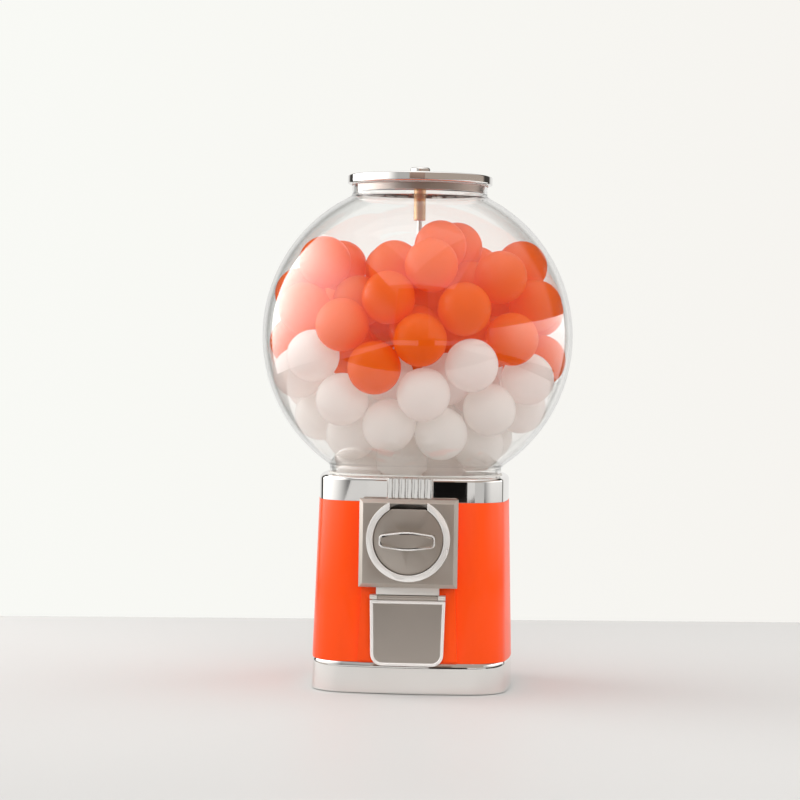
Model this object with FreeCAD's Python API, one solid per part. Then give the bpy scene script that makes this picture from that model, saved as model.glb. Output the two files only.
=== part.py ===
import FreeCAD, Part
import math
import os

os.makedirs("parts", exist_ok=True)

# Table-top gumball machine. Millimetres, +Z up, front towards -Y,
# origin on the table under the centre rod.

# Stack of castings, from the table up
foot_height = 6.0
foot_radius = 9.0
skirt_lift = 0.4
skirt_height = 24.1
skirt_roll_height = 5.5
skirt_roll_depth = 1.0
skirt_top_half = 79.3
skirt_flare = 0.6
skirt_wall = 3.0
body_height = 124.0
body_step = 0.1
body_taper = 3.7
body_wall = 2.5
collar_height = 19.5
collar_step = 0.3
collar_wall = 2.5
collar_deck = 3.0
collar_shoulder = 3.5
side_radius = 330.0
corner_radius = 32.0

# Globe and lid
globe_radius = 124.2
globe_wall = 3.0
lower_neck_radius = 68.5
lower_neck_height = 5.2
upper_neck_radius = 54.0
upper_neck_height = 8.1
globe_seal = 0.8
lid_seal = 1.2
lid_radius = 58.0
lid_rim = 7.0
lid_dome = 2.6
lid_wall = 2.0
lid_plug_depth = 6.3
lid_plug_clearance = 0.5
lid_edge_round = 1.2

# Centre rod and lid lock
rod_radius = 2.0
lock_radius = 8.0
lock_rise = 4.6
lock_barrel_radius = 6.4
lock_barrel_length = 6.5
lock_plug_radius = 5.5
lock_tube_radius = 4.75
lock_tube_length = 29.4

# Balls and dispensing wheel
ball_radius = 20.5
ball_wall = 1.0
ball_gap = 0.4
pocket_clearance = 0.8
wheel_hub_radius = 11.2
wheel_web = 1.5
wheel_headroom = 7.0
crown_teeth = 48
pinion_teeth = 12
crown_offset = 5.45
crown_half_width = 2.75
rim_margin = 1.5
pinion_half_width = 2.5
pressure_angle = math.radians(20.0)
tooth_backlash = 0.5
crown_addendum = 1.6
root_clearance = 0.7
pan_thickness = 3.0
pan_rim_height = 8.0
pan_rim_wall = 1.2
guard_thickness = 1.2
bush_radius = 6.0

# Coin mechanism on the front
pad_proud = 0.9
dial_drop = 28.1
dial_radius = 26.9
coin_chord = 23.5
slot_half_width = 14.4
slot_rise = 27.4
plate_half_width = 38.0
plate_above_dial = 31.0
plate_below_dial = 36.9
plate_depth = 11.0
plate_wall = 3.0
plate_bevel = 3.0
ring_radius = 32.2
ring_proud = 2.5
housing_bore = 28.3
housing_wall = 2.0
housing_half_width = 34.0
housing_above = 24.5
housing_below = 31.9
spindle_radius = 4.0
knob_half_length = 21.7
knob_half_height = 7.9
knob_end_half_height = 5.2
knob_corner = 1.9
knob_depth = 17.5
knob_border = 2.2
knob_recess = 1.0
ratchet_radius = 23.5
ratchet_depth = 1.2
ratchet_teeth = 16
ratchet_width = 3.4

# Ball chute and flap
chute_half_width = 22.5
chute_wall = 1.5
mouth_sill = 3.5
mouth_drop = 3.0
frame_thickness = 2.0
flap_half_top = 29.2
flap_half_bottom = 28.0
flap_corner = 9.0
frame_corner_cut = 5.0
flap_overhang = 2.0
flap_thickness = 3.0
flap_border = 2.4
flap_recess = 1.0
hinge_drop = 7.9
hinge_pin_radius = 1.1
knuckle_radius = 2.0
strip_half_width = 24.3

# Clearances
run_fit = 0.05
slip_fit = 0.3
seat_gap = 0.4
press_gap = 0.02

# Widths, heights and depths that follow
skirt_bottom_half = skirt_top_half + skirt_flare
body_bottom_half = skirt_top_half - body_step
body_top_half = body_bottom_half - body_taper
collar_half = body_top_half - collar_step
skirt_top = skirt_lift + skirt_height
body_top = skirt_top + body_height
collar_top = body_top + collar_height
globe_bottom = collar_top + globe_seal
globe_centre = globe_bottom + lower_neck_height + math.sqrt(globe_radius ** 2 - lower_neck_radius ** 2)
globe_top = globe_centre + math.sqrt(globe_radius ** 2 - upper_neck_radius ** 2) + upper_neck_height
lid_bottom = globe_top + lid_seal
lid_top = lid_bottom + lid_rim
lock_seat = lid_top + lid_dome
lock_top = lock_seat + lock_rise
lock_bottom = lock_seat - lid_wall - lock_barrel_length
dial_z = body_top - dial_drop
pad_face = -(body_bottom_half + pad_proud)
plate_front = pad_face - plate_depth
plate_inner = plate_front + plate_wall
plate_top = dial_z + plate_above_dial
plate_bottom = dial_z - plate_below_dial
mouth_bottom = skirt_top + mouth_sill
hinge_height = plate_bottom - hinge_drop
mouth_top = hinge_height - mouth_drop
flap_bottom = skirt_top - flap_overhang
pocket_radius = ball_radius + pocket_clearance
pocket_pitch = wheel_hub_radius + pocket_radius
wheel_radius = pocket_pitch + pocket_radius + wheel_web
wheel_top = collar_top - collar_deck - wheel_headroom
wheel_bottom = wheel_top - 2.0 * ball_radius
pan_top = wheel_bottom - 0.5
pan_bottom = pan_top - pan_thickness
crown_radius = wheel_radius + crown_offset
rim_radius = crown_radius + crown_half_width + rim_margin
gear_module = 2.0 * crown_radius / crown_teeth
pinion_radius = gear_module * pinion_teeth / 2.0
crown_plane = dial_z + pinion_radius
housing_back = -(rim_radius + 1.2)
bore_end = housing_back - housing_wall
dial_bore = dial_radius + slip_fit


# Shapes used by several pieces
def vec(x, y, z):
    return FreeCAD.Vector(x, y, z)


def save(node, *solids):
    shape = solids[0] if len(solids) == 1 else Part.makeCompound(list(solids))
    shape.exportStep("parts/" + node + ".step")


def block(x0, x1, y0, y1, z0, z1):
    return Part.makeBox(x1 - x0, y1 - y0, z1 - z0, vec(x0, y0, z0))


def post(radius, z0, z1, x=0.0, y=0.0):
    return Part.makeCylinder(radius, z1 - z0, vec(x, y, z0))


def pipe(outer, inner, z0, z1, x=0.0, y=0.0):
    return post(outer, z0, z1, x, y).cut(post(inner, z0, z1, x, y))


def axle(radius, y0, y1, x=0.0, z=0.0):
    return Part.makeCylinder(radius, y1 - y0, vec(x, y0, z), vec(0, 1, 0))


def sleeve(outer, inner, y0, y1, x=0.0, z=0.0):
    return axle(outer, y0, y1, x, z).cut(axle(inner, y0, y1, x, z))


def cross_pin(radius, x0, x1, y, z):
    return Part.makeCylinder(radius, x1 - x0, vec(x0, y, z), vec(1, 0, 0))


def face_of(points):
    return Part.Face(Part.makePolygon(points + points[:1]))


def front_slab(outline, y0, y1):
    """Outline of (x, z) points, drawn out along Y."""
    return face_of([vec(x, y0, z) for x, z in outline]).extrude(vec(0, y1 - y0, 0))


def side_slab(outline, x0, x1):
    """Outline of (y, z) points, drawn out along X."""
    return face_of([vec(x0, y, z) for y, z in outline]).extrude(vec(x1 - x0, 0, 0))


def turned(outline):
    """Outline of (radius, height) points turned about the centre rod.

    A third value of True marks a point that an arc passes through.
    """
    edges = []
    points = [vec(entry[0], 0, entry[1]) for entry in outline]
    count = len(points)
    for index in range(count):
        if len(outline[index]) == 3:
            continue
        following = (index + 1) % count
        if len(outline[following]) == 3:
            end = points[(index + 2) % count]
            edges.append(Part.Arc(points[index], points[following], end).toShape())
        else:
            edges.append(Part.LineSegment(points[index], points[following]).toShape())
    return Part.Face(Part.Wire(edges)).revolve(vec(0, 0, 0), vec(0, 0, 1), 360.0)


def round_rings(shape, radius, *rings):
    """Fillet the circular edges at the given (radius, height) pairs."""
    chosen = []
    for edge in shape.Edges:
        if not isinstance(edge.Curve, Part.Circle):
            continue
        for ring_r, ring_z in rings:
            same_size = abs(edge.Curve.Radius - ring_r) < 1e-4
            if same_size and abs(edge.Curve.Center.z - ring_z) < 1e-4:
                chosen.append(edge)
    return shape.makeFillet(radius, chosen)


def corner_centre(half_width):
    """How far out the centre of a rounded square's corner lies, along X and along Y."""
    centre = half_width - side_radius
    reach = side_radius - corner_radius
    return (centre + math.sqrt(2.0 * reach ** 2 - centre ** 2)) / 2.0


def corner_tip(half_width, inset):
    """How far out the tip of a rounded square's corner lies, along X and along Y."""
    return corner_centre(half_width) + (corner_radius - inset) / math.sqrt(2.0)


def rounded_square(half_width, inset, z):
    """Wire of four bulged sides and four corners, all tangent arcs."""
    side = side_radius - inset
    half = half_width - inset
    centre = half_width - side_radius
    reach = side_radius - corner_radius
    c = corner_centre(half_width)
    touch_x = centre + side * (c - centre) / reach
    touch_y = side * c / reach
    tip = corner_tip(half_width, inset)
    edges = []
    for quarter in range(4):
        turn = FreeCAD.Rotation(vec(0, 0, 1), 90.0 * quarter)
        side_points = [vec(touch_x, -touch_y, z), vec(half, 0, z), vec(touch_x, touch_y, z)]
        corner_points = [vec(touch_x, touch_y, z), vec(tip, tip, z), vec(touch_y, touch_x, z)]
        for points in (side_points, corner_points):
            placed = [turn.multVec(point) for point in points]
            edges.append(Part.Arc(*placed).toShape())
    return Part.Wire(edges)


def square_loft(levels, inset=0.0):
    """Solid through rounded squares given as (half width, height)."""
    return Part.makeLoft([rounded_square(half, inset, z) for half, z in levels], True, True)


def body_half(z):
    share = (z - skirt_top) / body_height
    return body_bottom_half + share * (body_top_half - body_bottom_half)


def corners(offset):
    return [(sx * offset, sy * offset) for sx in (-1, 1) for sy in (-1, 1)]


# Base: rubber feet, base plate, screws, chromed skirt and coin tray
plate_thickness = 1.5
base_plate_top = foot_height + plate_thickness
boss_radius = 6.0
boss_inset = 2.8
base_screw_radius = 1.6
screw_head_radius = 3.2
screw_head = 1.8
foot_inset = 14.9
skirt_neck_half = skirt_top_half - skirt_roll_depth
base_boss_offset = corner_tip(skirt_neck_half, skirt_wall) - boss_inset
foot_offset = base_boss_offset - foot_inset

feet = []
for x, y in corners(foot_offset):
    feet.append(round_rings(post(foot_radius, 0.0, foot_height, x, y), 1.5, (foot_radius, 0.0)))
save("rubber_feet", *feet)

plate_half = skirt_bottom_half + (skirt_neck_half - skirt_bottom_half) * base_plate_top / skirt_top
plate = square_loft([(plate_half, foot_height), (plate_half, base_plate_top)], skirt_wall + slip_fit)
plate = plate.cut(post(rod_radius + slip_fit, foot_height, base_plate_top))
for x, y in corners(base_boss_offset):
    plate = plate.cut(post(base_screw_radius + slip_fit, foot_height, base_plate_top, x, y))
save("base_plate", plate)

screw_length = 9.0
base_screws = []
for x, y in corners(base_boss_offset):
    head = post(screw_head_radius, foot_height - screw_head, foot_height, x, y)
    base_screws.append(head.fuse(post(base_screw_radius, foot_height, foot_height + screw_length, x, y)))
save("base_screws", *base_screws)

roll_start = skirt_top - skirt_roll_height
skirt_levels = [(skirt_bottom_half, skirt_lift), (skirt_top_half, roll_start)]
roll_steps = 4
for step in range(1, roll_steps + 1):
    angle = 0.5 * math.pi * step / roll_steps
    level = roll_start + skirt_roll_height * math.sin(angle)
    skirt_levels.append((skirt_top_half - skirt_roll_depth * (1.0 - math.cos(angle)), level))
skirt = square_loft(skirt_levels)
hollow = square_loft([(skirt_bottom_half, 0.0), (skirt_neck_half, skirt_top)], skirt_wall)
bosses = [post(boss_radius, base_plate_top, roll_start, x, y) for x, y in corners(base_boss_offset)]
kept = square_loft([(skirt_bottom_half - 0.5, base_plate_top), (skirt_top_half - 0.5, roll_start)])
boss_group = Part.makeCompound(bosses).common(kept)
skirt = skirt.cut(hollow).fuse(boss_group)
for x, y in corners(base_boss_offset):
    skirt = skirt.cut(post(base_screw_radius + press_gap, base_plate_top, roll_start - 2.0, x, y))
save("base_skirt", skirt.removeSplitter())

tray_half = base_boss_offset - boss_radius
tray_height = 14.0
tray_wall = 1.2
tray_tube = 6.0
tray_top = base_plate_top + tray_height
tray = block(-tray_half, tray_half, -tray_half, tray_half, base_plate_top, tray_top)
inner_half = tray_half - tray_wall
tray = tray.cut(block(-inner_half, inner_half, -inner_half, inner_half, base_plate_top + tray_wall, tray_top))
tray = tray.fuse(post(tray_tube, base_plate_top, tray_top))
tray = tray.cut(post(rod_radius + slip_fit, base_plate_top, tray_top))
save("coin_tray", tray)

# Centre rod with its nut and washer under the base plate
rod_end = 1.6
rod_top = lock_bottom - 0.6
washer_radius = 8.0
washer_thickness = 1.0
nut_height = 2.8
nut_size = 4.0
save("center_rod", post(rod_radius, rod_end, rod_top))
washer_bottom = foot_height - washer_thickness
save("rod_washer", pipe(washer_radius, rod_radius + press_gap, washer_bottom, foot_height))
hexagon = []
for side in range(6):
    angle = math.radians(60.0 * side)
    hexagon.append(vec(nut_size * math.cos(angle), nut_size * math.sin(angle), washer_bottom - nut_height))
nut = face_of(hexagon).extrude(vec(0, 0, nut_height))
nut = nut.cut(post(rod_radius + press_gap, washer_bottom - nut_height, washer_bottom))
save("rod_nut", nut)

# Orange body: tapered shell with a raised pad, corner posts for the hopper and seats for the plate screws
pad_top_half = 36.0
pad_bottom_half = 38.5
pad_foot = 1.5
pan_post_radius = 5.0
pan_post_height = 18.0
pan_post_inset = 2.8
pan_post_offset = corner_tip(body_half(pan_bottom), body_wall) - pan_post_inset
housing_top = dial_z + housing_above
housing_bottom = dial_z - housing_below
housing_radius = housing_bore + housing_wall
plate_screw_x = (housing_half_width + slip_fit + plate_half_width) / 2.0
plate_screw_radius = 1.3
plate_screw_head = 1.8
plate_screw_below = 26.0
plate_screw_above = 14.0
plate_screw_heights = (dial_z - plate_screw_below, dial_z + plate_screw_above)
seat_depth = 7.0
seat_thickness = 2.5
seat_front = pad_face + seat_depth
seat_back = seat_front + seat_thickness
seat_half_width = 3.5
seat_half_height = 4.0
pad_root = 15.0
cavity_half = housing_half_width + slip_fit
coin_lane_inner = 25.8
coin_lane_outer = 32.5
chute_outer = chute_half_width + chute_wall
frame_half = flap_half_bottom - 0.5
chute_screw_x = (chute_outer + frame_half) / 2.0 + 0.15
chute_screw_radius = 1.0
chute_screw_head = 1.5
chute_screw_low = 12.0
chute_screw_high = 10.0
chute_screw_heights = (mouth_bottom + chute_screw_low, mouth_top - chute_screw_high)


def plate_screw_places():
    return [(side * plate_screw_x, z) for side in (-1, 1) for z in plate_screw_heights]


def chute_screw_places():
    return [(side * chute_screw_x, z) for side in (-1, 1) for z in chute_screw_heights]


body = square_loft([(body_bottom_half, skirt_top), (body_top_half, body_top)])
pad_half = plate_half_width - slip_fit
right_edge = [(pad_bottom_half, skirt_top + pad_foot), (pad_top_half, plate_bottom), (pad_half, plate_bottom),
              (pad_half, body_top)]
left_edge = [(-x, z) for x, z in reversed(right_edge)]
body = body.fuse(front_slab(right_edge + left_edge, pad_face, pad_face + pad_root))
body_ends = (skirt_top - 1.0, body_top + 1.0)
body = body.cut(square_loft([(body_half(z), z) for z in body_ends], body_wall))
for x, y in corners(pan_post_offset):
    body = body.fuse(post(pan_post_radius, pan_bottom - pan_post_height, pan_bottom, x, y))
    body = body.cut(post(base_screw_radius + press_gap, pan_bottom - screw_length - 1.0, pan_bottom, x, y))
for x, z in plate_screw_places():
    body = body.fuse(block(x - seat_half_width, x + seat_half_width, seat_front, seat_back,
                           z - seat_half_height, z + seat_half_height))
works_back = housing_back + plate_wall
body = body.cut(block(-cavity_half, cavity_half, plate_inner, works_back,
                      housing_bottom - slip_fit, housing_top + slip_fit))
body = body.cut(axle(housing_radius + slip_fit, plate_inner, works_back, 0.0, dial_z))
body = body.cut(block(coin_lane_inner - 0.5, cavity_half, plate_inner, housing_back,
                      plate_bottom + seat_gap, housing_bottom))
body = body.cut(block(-chute_outer - slip_fit, chute_outer + slip_fit, plate_inner, housing_back,
                      mouth_bottom - chute_wall - slip_fit, mouth_top + chute_wall + slip_fit))
for x, z in plate_screw_places():
    body = body.cut(axle(plate_screw_radius + press_gap, pad_face - 1.0, seat_back, x, z))
for x, z in chute_screw_places():
    body = body.cut(axle(chute_screw_radius + press_gap, pad_face - 1.0, seat_back, x, z))
save("body_shell", body.removeSplitter())

# Chromed collar with its rounded shoulder and the ribbed boss at the front
rib_half_width = 18.0
rib_proud = 4.0
rib_top_gap = 0.6
rib_pitch = 5.0
rib_count = 6
groove_radius = 1.15
collar_inner_top = collar_top - collar_deck
collar_hole = lower_neck_radius - globe_wall - 2.0
collar = square_loft([(collar_half, body_top), (collar_half, collar_top)])
shoulder_edges = []
for edge in collar.Edges:
    if all(abs(vertex.Z - collar_top) < 1e-6 for vertex in edge.Vertexes):
        shoulder_edges.append(edge)
collar = collar.makeFillet(collar_shoulder, shoulder_edges)
rib_front = -(collar_half + rib_proud)
rib_outline = [(-collar_half + rib_proud, body_top), (rib_front, body_top),
               (rib_front, collar_top - collar_shoulder),
               (rib_front + 0.3 * collar_shoulder, collar_top - 0.3 * collar_shoulder - rib_top_gap),
               (rib_front + collar_shoulder, collar_top - rib_top_gap),
               (-collar_half + 2.0 * rib_proud, collar_top - rib_top_gap)]
collar = collar.fuse(side_slab(rib_outline, -rib_half_width, rib_half_width))
for index in range(rib_count):
    x = (index - (rib_count - 1) / 2.0) * rib_pitch
    collar = collar.cut(post(groove_radius, body_top, collar_top, x, rib_front))
collar = collar.cut(square_loft([(collar_half, body_top), (collar_half, collar_inner_top)], collar_wall))
collar = collar.cut(post(collar_hole, collar_inner_top - 1.0, collar_top + 1.0))
collar = collar.cut(axle(housing_radius + slip_fit, rib_front - 1.0, housing_back, 0.0, dial_z))
save("collar", collar)

# Clear globe on its seal
globe_inner = globe_radius - globe_wall
lower_inner = lower_neck_radius - globe_wall
upper_inner = upper_neck_radius - globe_wall
neck_edge = globe_centre - math.sqrt(globe_inner ** 2 - lower_inner ** 2)
save("globe_gasket", pipe(lower_neck_radius + 1.0, lower_inner - 1.0, collar_top, globe_bottom))
globe = turned([
    (lower_neck_radius, globe_bottom),
    (lower_neck_radius, globe_bottom + lower_neck_height),
    (globe_radius, globe_centre, True),
    (upper_neck_radius, globe_top - upper_neck_height),
    (upper_neck_radius, globe_top),
    (upper_inner, globe_top),
    (upper_inner, globe_centre + math.sqrt(globe_inner ** 2 - upper_inner ** 2)),
    (globe_inner, globe_centre, True),
    (lower_inner, neck_edge),
    (lower_inner, globe_bottom),
])
save("globe", globe)

# Chromed lid with its plug, white seal, and the lock that holds it to the rod
lid_hole = lock_barrel_radius + 0.1
plug_radius = upper_inner - lid_plug_clearance
plug_inner = plug_radius - lid_wall
dome_middle = (lid_hole + lid_radius) / 2.0
lid = turned([
    (lid_hole, lock_seat),
    (dome_middle, lid_top + 0.75 * lid_dome, True),
    (lid_radius, lid_top),
    (lid_radius, lid_bottom),
    (plug_radius, lid_bottom),
    (plug_radius, lid_bottom - lid_plug_depth),
    (plug_inner, lid_bottom - lid_plug_depth),
    (plug_inner, lid_top - lid_wall),
    (dome_middle, lid_top + 0.75 * lid_dome - lid_wall, True),
    (lid_hole, lock_seat - lid_wall),
])
lid = round_rings(lid, lid_edge_round, (lid_radius, lid_top))
lid = round_rings(lid, 1.0, (lid_radius, lid_bottom))
save("lid", lid)
save("lid_gasket", pipe(upper_neck_radius + 0.6, plug_radius + 0.1, globe_top + seat_gap, lid_bottom))

lock_body = turned([
    (lock_plug_radius + run_fit, lock_bottom),
    (lock_barrel_radius, lock_bottom),
    (lock_barrel_radius, lock_seat),
    (lock_radius, lock_seat),
    (lock_radius, lock_top - 0.8),
    (lock_radius - 0.8, lock_top),
    (lock_plug_radius + run_fit, lock_top),
])
save("lock_body", lock_body)
lock_nut_radius = 9.5
lock_nut_height = 4.0
lock_nut_top = lock_seat - lid_wall - 0.2
lock_nut_bottom = lock_nut_top - lock_nut_height
save("lock_nut", pipe(lock_nut_radius, lock_barrel_radius + press_gap, lock_nut_bottom, lock_nut_top))
key_half_width = 0.6
key_half_length = 2.8
key_depth = 2.3
key_slot = block(-key_half_width, key_half_width, -key_half_length, key_half_length,
                 lock_top - key_depth, lock_top)
save("lock_plug", post(lock_plug_radius, lock_bottom, lock_top - 0.3).cut(key_slot))
save("lock_tube", pipe(lock_tube_radius, rod_radius + seat_gap, lock_bottom - lock_tube_length, lock_bottom))

# Hopper pan that carries the wheel, held by a screw at each corner post
pan_rim_inner = wheel_radius + slip_fit
pan_rim_outer = pan_rim_inner + pan_rim_wall
pinion_tip = pinion_radius + gear_module
pan = square_loft([(body_half(pan_top), pan_bottom), (body_half(pan_top), pan_top)], body_wall + seat_gap)
pan = pan.fuse(pipe(pan_rim_outer, pan_rim_inner, pan_top, pan_top + pan_rim_height))
housing_room = housing_half_width + seat_gap
pan = pan.cut(block(-housing_room, housing_room, plate_front, housing_back + seat_gap, pan_bottom, pan_top))
pinion_room = pinion_tip + 1.5
pan = pan.cut(block(-pinion_room, pinion_room, plate_front, -pan_rim_outer - 0.1, pan_bottom, pan_top))
pan = pan.cut(post(pocket_radius + 0.7, pan_bottom, pan_top, 0.0, -pocket_pitch))
pan = pan.cut(post(rod_radius + slip_fit, pan_bottom, pan_top))
pan_screws = []
for x, y in corners(pan_post_offset):
    pan = pan.cut(post(base_screw_radius + slip_fit, pan_bottom, pan_top, x, y))
    head = post(screw_head_radius, pan_top, pan_top + screw_head, x, y)
    pan_screws.append(head.fuse(post(base_screw_radius, pan_bottom - screw_length, pan_top, x, y)))
save("hopper_pan", pan)
save("hopper_screws", *pan_screws)

# Dispensing wheel: four pockets, and a ring of teeth under its rim that the pinion drives
crown_root = crown_plane + gear_module + root_clearance
wheel = post(wheel_radius, wheel_bottom, wheel_top)
wheel = wheel.fuse(pipe(rim_radius, wheel_radius - 1.0, crown_root, wheel_top))
for quarter in range(4):
    angle = math.radians(90.0 * quarter)
    wheel = wheel.cut(post(pocket_radius, wheel_bottom, wheel_top,
                           pocket_pitch * math.cos(angle), pocket_pitch * math.sin(angle)))
wheel = wheel.cut(post(bush_radius + press_gap, wheel_bottom, wheel_top))
half_tooth = math.pi * gear_module / 4.0 - tooth_backlash / 2.0
tip_half = half_tooth - crown_addendum * math.tan(pressure_angle)
root_half = half_tooth + (crown_root - crown_plane) * math.tan(pressure_angle)
tooth_outline = [(-tip_half, crown_plane - crown_addendum), (tip_half, crown_plane - crown_addendum),
                 (root_half, crown_root + 0.5), (-root_half, crown_root + 0.5)]
crown = []
for index in range(crown_teeth):
    tooth = front_slab(tooth_outline, -crown_radius - crown_half_width, -crown_radius + crown_half_width)
    tooth.rotate(vec(0, 0, 0), vec(0, 0, 1), (index + 0.5) * 360.0 / crown_teeth)
    crown.append(tooth)
wheel = wheel.multiFuse(crown).removeSplitter()
save("dispensing_wheel", wheel)
save("wheel_bush", pipe(bush_radius, rod_radius + run_fit, pan_top + slip_fit, wheel_top))


def ball_at(x, y, z):
    """Hollow ball about its centre."""
    outer = Part.makeSphere(ball_radius, vec(x, y, z))
    return outer.cut(Part.makeSphere(ball_radius - ball_wall, vec(x, y, z)))


pocket_ball_z = pan_top + slip_fit + ball_radius
save("pocket_balls", *[ball_at(pocket_pitch * cos, pocket_pitch * sin, pocket_ball_z)
                       for cos, sin in ((1, 0), (0, 1), (-1, 0))])

# Guard over the outlet, so that only the ball in the pocket drops
guard_bottom = wheel_top + 0.5
guard_top = guard_bottom + guard_thickness
guard_radius = pocket_radius + 2.7
guard_half_width = 12.0
riser_front = -(collar_half - collar_wall - 1.0)
guard = post(guard_radius, guard_bottom, guard_top, 0.0, -pocket_pitch)
guard = guard.fuse(block(-guard_half_width, guard_half_width, riser_front, -pocket_pitch - guard_radius + 4.0,
                         guard_bottom, guard_top))
guard = guard.fuse(block(-guard_half_width, guard_half_width, riser_front, riser_front + guard_thickness,
                         guard_bottom, collar_inner_top))
save("ball_guard", guard.removeSplitter())

# Coin plate on the front, with the bright ring round the dial
plate_cover = block(-plate_half_width, plate_half_width, plate_front, pad_face, plate_bottom, plate_top)
front_edges = []
for edge in plate_cover.Edges:
    if all(abs(vertex.Y - plate_front) < 1e-6 for vertex in edge.Vertexes):
        front_edges.append(edge)
plate_cover = plate_cover.makeChamfer(plate_bevel, front_edges)
plate_cover = plate_cover.cut(block(-cavity_half, cavity_half, plate_inner, pad_face,
                                    plate_bottom + plate_wall, housing_top + slip_fit))
plate_cover = plate_cover.cut(axle(housing_radius + slip_fit, plate_inner, pad_face, 0.0, dial_z))
plate_cover = plate_cover.cut(axle(dial_bore, plate_front, plate_inner, 0.0, dial_z))
plate_cover = plate_cover.cut(block(-slot_half_width, slot_half_width, plate_front, plate_inner, dial_z,
                                    dial_z + slot_rise))
mech_screws = []
plate_screw_bite = 6.0
screw_tip = pad_face - plate_screw_bite
for x, z in plate_screw_places():
    plate_cover = plate_cover.cut(axle(plate_screw_radius + press_gap, screw_tip - 0.5, pad_face, x, z))
    shank = axle(plate_screw_radius, screw_tip, seat_back, x, z)
    mech_screws.append(shank.fuse(axle(plate_screw_head, seat_back, seat_back + screw_head, x, z)))
save("coin_plate", plate_cover)
save("mech_screws", *mech_screws)

ring_front = plate_front - ring_proud
ring = sleeve(ring_radius, dial_bore, ring_front, plate_front, 0.0, dial_z)
ring = ring.cut(block(-slot_half_width, slot_half_width, ring_front, plate_front, dial_z,
                      dial_z + ring_radius + 1.0))
notch_reach = 2.7
notch_drop = 8.3
notch_half_height = 2.5
notch_depth = 1.2
ring = ring.cut(block(ring_radius - notch_reach, ring_radius, ring_front, ring_front + notch_depth,
                      dial_z - notch_drop - notch_half_height, dial_z - notch_drop + notch_half_height))
save("dial_ring", ring)

# Mechanism housing behind the plate, with the pawl pocket and the lane that the coin falls down
pawl_reach = housing_bore + 4.7
pawl_angle = math.radians(150.0)
pawl_x = pawl_reach * math.cos(pawl_angle)
pawl_z = dial_z + pawl_reach * math.sin(pawl_angle)
pawl_pin_radius = 1.5
pawl_pin_bite = 1.5
pawl_eye_radius = 3.2
pocket_depth = 6.8
pocket_margin = 1.0
pocket_end = -14.0
pocket_low = 9.0
bush_flange = 2.0
flange_thickness = 0.8
lane_skin = 1.0
lane_top = dial_z - 2.0
pocket_front = bore_end - pocket_depth
pin_front = pocket_front - pawl_pin_bite
housing = block(-housing_half_width, housing_half_width, plate_inner, housing_back,
                housing_bottom, housing_top)
housing = housing.fuse(axle(housing_radius, plate_inner, housing_back, 0.0, dial_z))
housing = housing.cut(axle(housing_bore, plate_inner, bore_end, 0.0, dial_z))
housing = housing.cut(axle(bush_radius + press_gap, bore_end, housing_back, 0.0, dial_z))
housing = housing.cut(block(pawl_x - pawl_eye_radius - pocket_margin, pocket_end, pocket_front, bore_end,
                            dial_z + pocket_low, housing_top - housing_wall))
housing = housing.cut(axle(pawl_pin_radius + press_gap, pin_front, housing_back, pawl_x, pawl_z))
housing = housing.cut(block(coin_lane_inner, coin_lane_outer, plate_inner + lane_skin, bore_end,
                            housing_bottom, lane_top))
save("mech_housing", housing)
save("pawl_pin", axle(pawl_pin_radius, pin_front, housing_back, pawl_x, pawl_z))
bush_bore = spindle_radius + run_fit
bush = sleeve(bush_radius, bush_bore, bore_end, housing_back, 0.0, dial_z)
bush = bush.fuse(sleeve(bush_radius + bush_flange, bush_bore, housing_back, housing_back + flange_thickness,
                        0.0, dial_z))
save("spindle_bush", bush)

# Coin guide: a bent strip that leads the coin back into the body, over the tray
strip_wall = 1.2
strip_level = housing_bottom - slip_fit
strip_bend = 7.5
strip_bend_drop = 2.3
strip_reach = 6.0
strip_drop = 11.7
strip_top = [(plate_inner + slip_fit, strip_level), (pad_face + slip_fit, strip_level),
             (pad_face + strip_bend, strip_level - strip_bend_drop),
             (housing_back + strip_reach, strip_level - strip_drop)]
strip_under = [(y, z - strip_wall) for y, z in reversed(strip_top)]
guide = side_slab(strip_top + strip_under, coin_lane_inner - 0.2, coin_lane_outer + strip_wall)
guide = guide.fuse(block(coin_lane_outer, coin_lane_outer + strip_wall, pad_face, housing_back - 0.5,
                         housing_bottom - 4.5, housing_bottom))
save("coin_guide", guide)

# Pieces on the spindle: carrier, ratchet, pinion, clip and the handle
spindle_bore = spindle_radius + press_gap
carrier_front = plate_front + 0.5
ratchet_back = bore_end - slip_fit
ratchet_front = ratchet_back - ratchet_width
carrier = axle(dial_radius, carrier_front, ratchet_front - 0.2, 0.0, dial_z)
carrier = carrier.cut(axle(spindle_bore, carrier_front, ratchet_front, 0.0, dial_z))
carrier = carrier.cut(block(-dial_radius, dial_radius, carrier_front, ratchet_front, dial_z + coin_chord,
                            dial_z + dial_radius + 1.0))
save("coin_carrier", carrier)

saw = []
for index in range(ratchet_teeth):
    for share, radius in ((0.0, ratchet_radius), (0.06, ratchet_radius - ratchet_depth)):
        angle = 2.0 * math.pi * (index + share) / ratchet_teeth
        saw.append((radius * math.sin(angle), dial_z + radius * math.cos(angle)))
ratchet = front_slab(saw, ratchet_front, ratchet_back)
save("ratchet_wheel", ratchet.cut(axle(spindle_bore, ratchet_front, ratchet_back, 0.0, dial_z)))

pinion_front = -crown_radius - pinion_half_width
pinion_back = -crown_radius + pinion_half_width
base_circle = pinion_radius * math.cos(pressure_angle)
pinion_root = pinion_radius - 1.25 * gear_module
flank_steps = 4


def tooth_half_angle(radius):
    """Half the angle of a pinion tooth at a radius, from the involute."""
    roll = math.acos(min(1.0, base_circle / radius))
    spread = math.tan(pressure_angle) - pressure_angle - math.tan(roll) + roll
    return half_tooth / pinion_radius + spread


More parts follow.
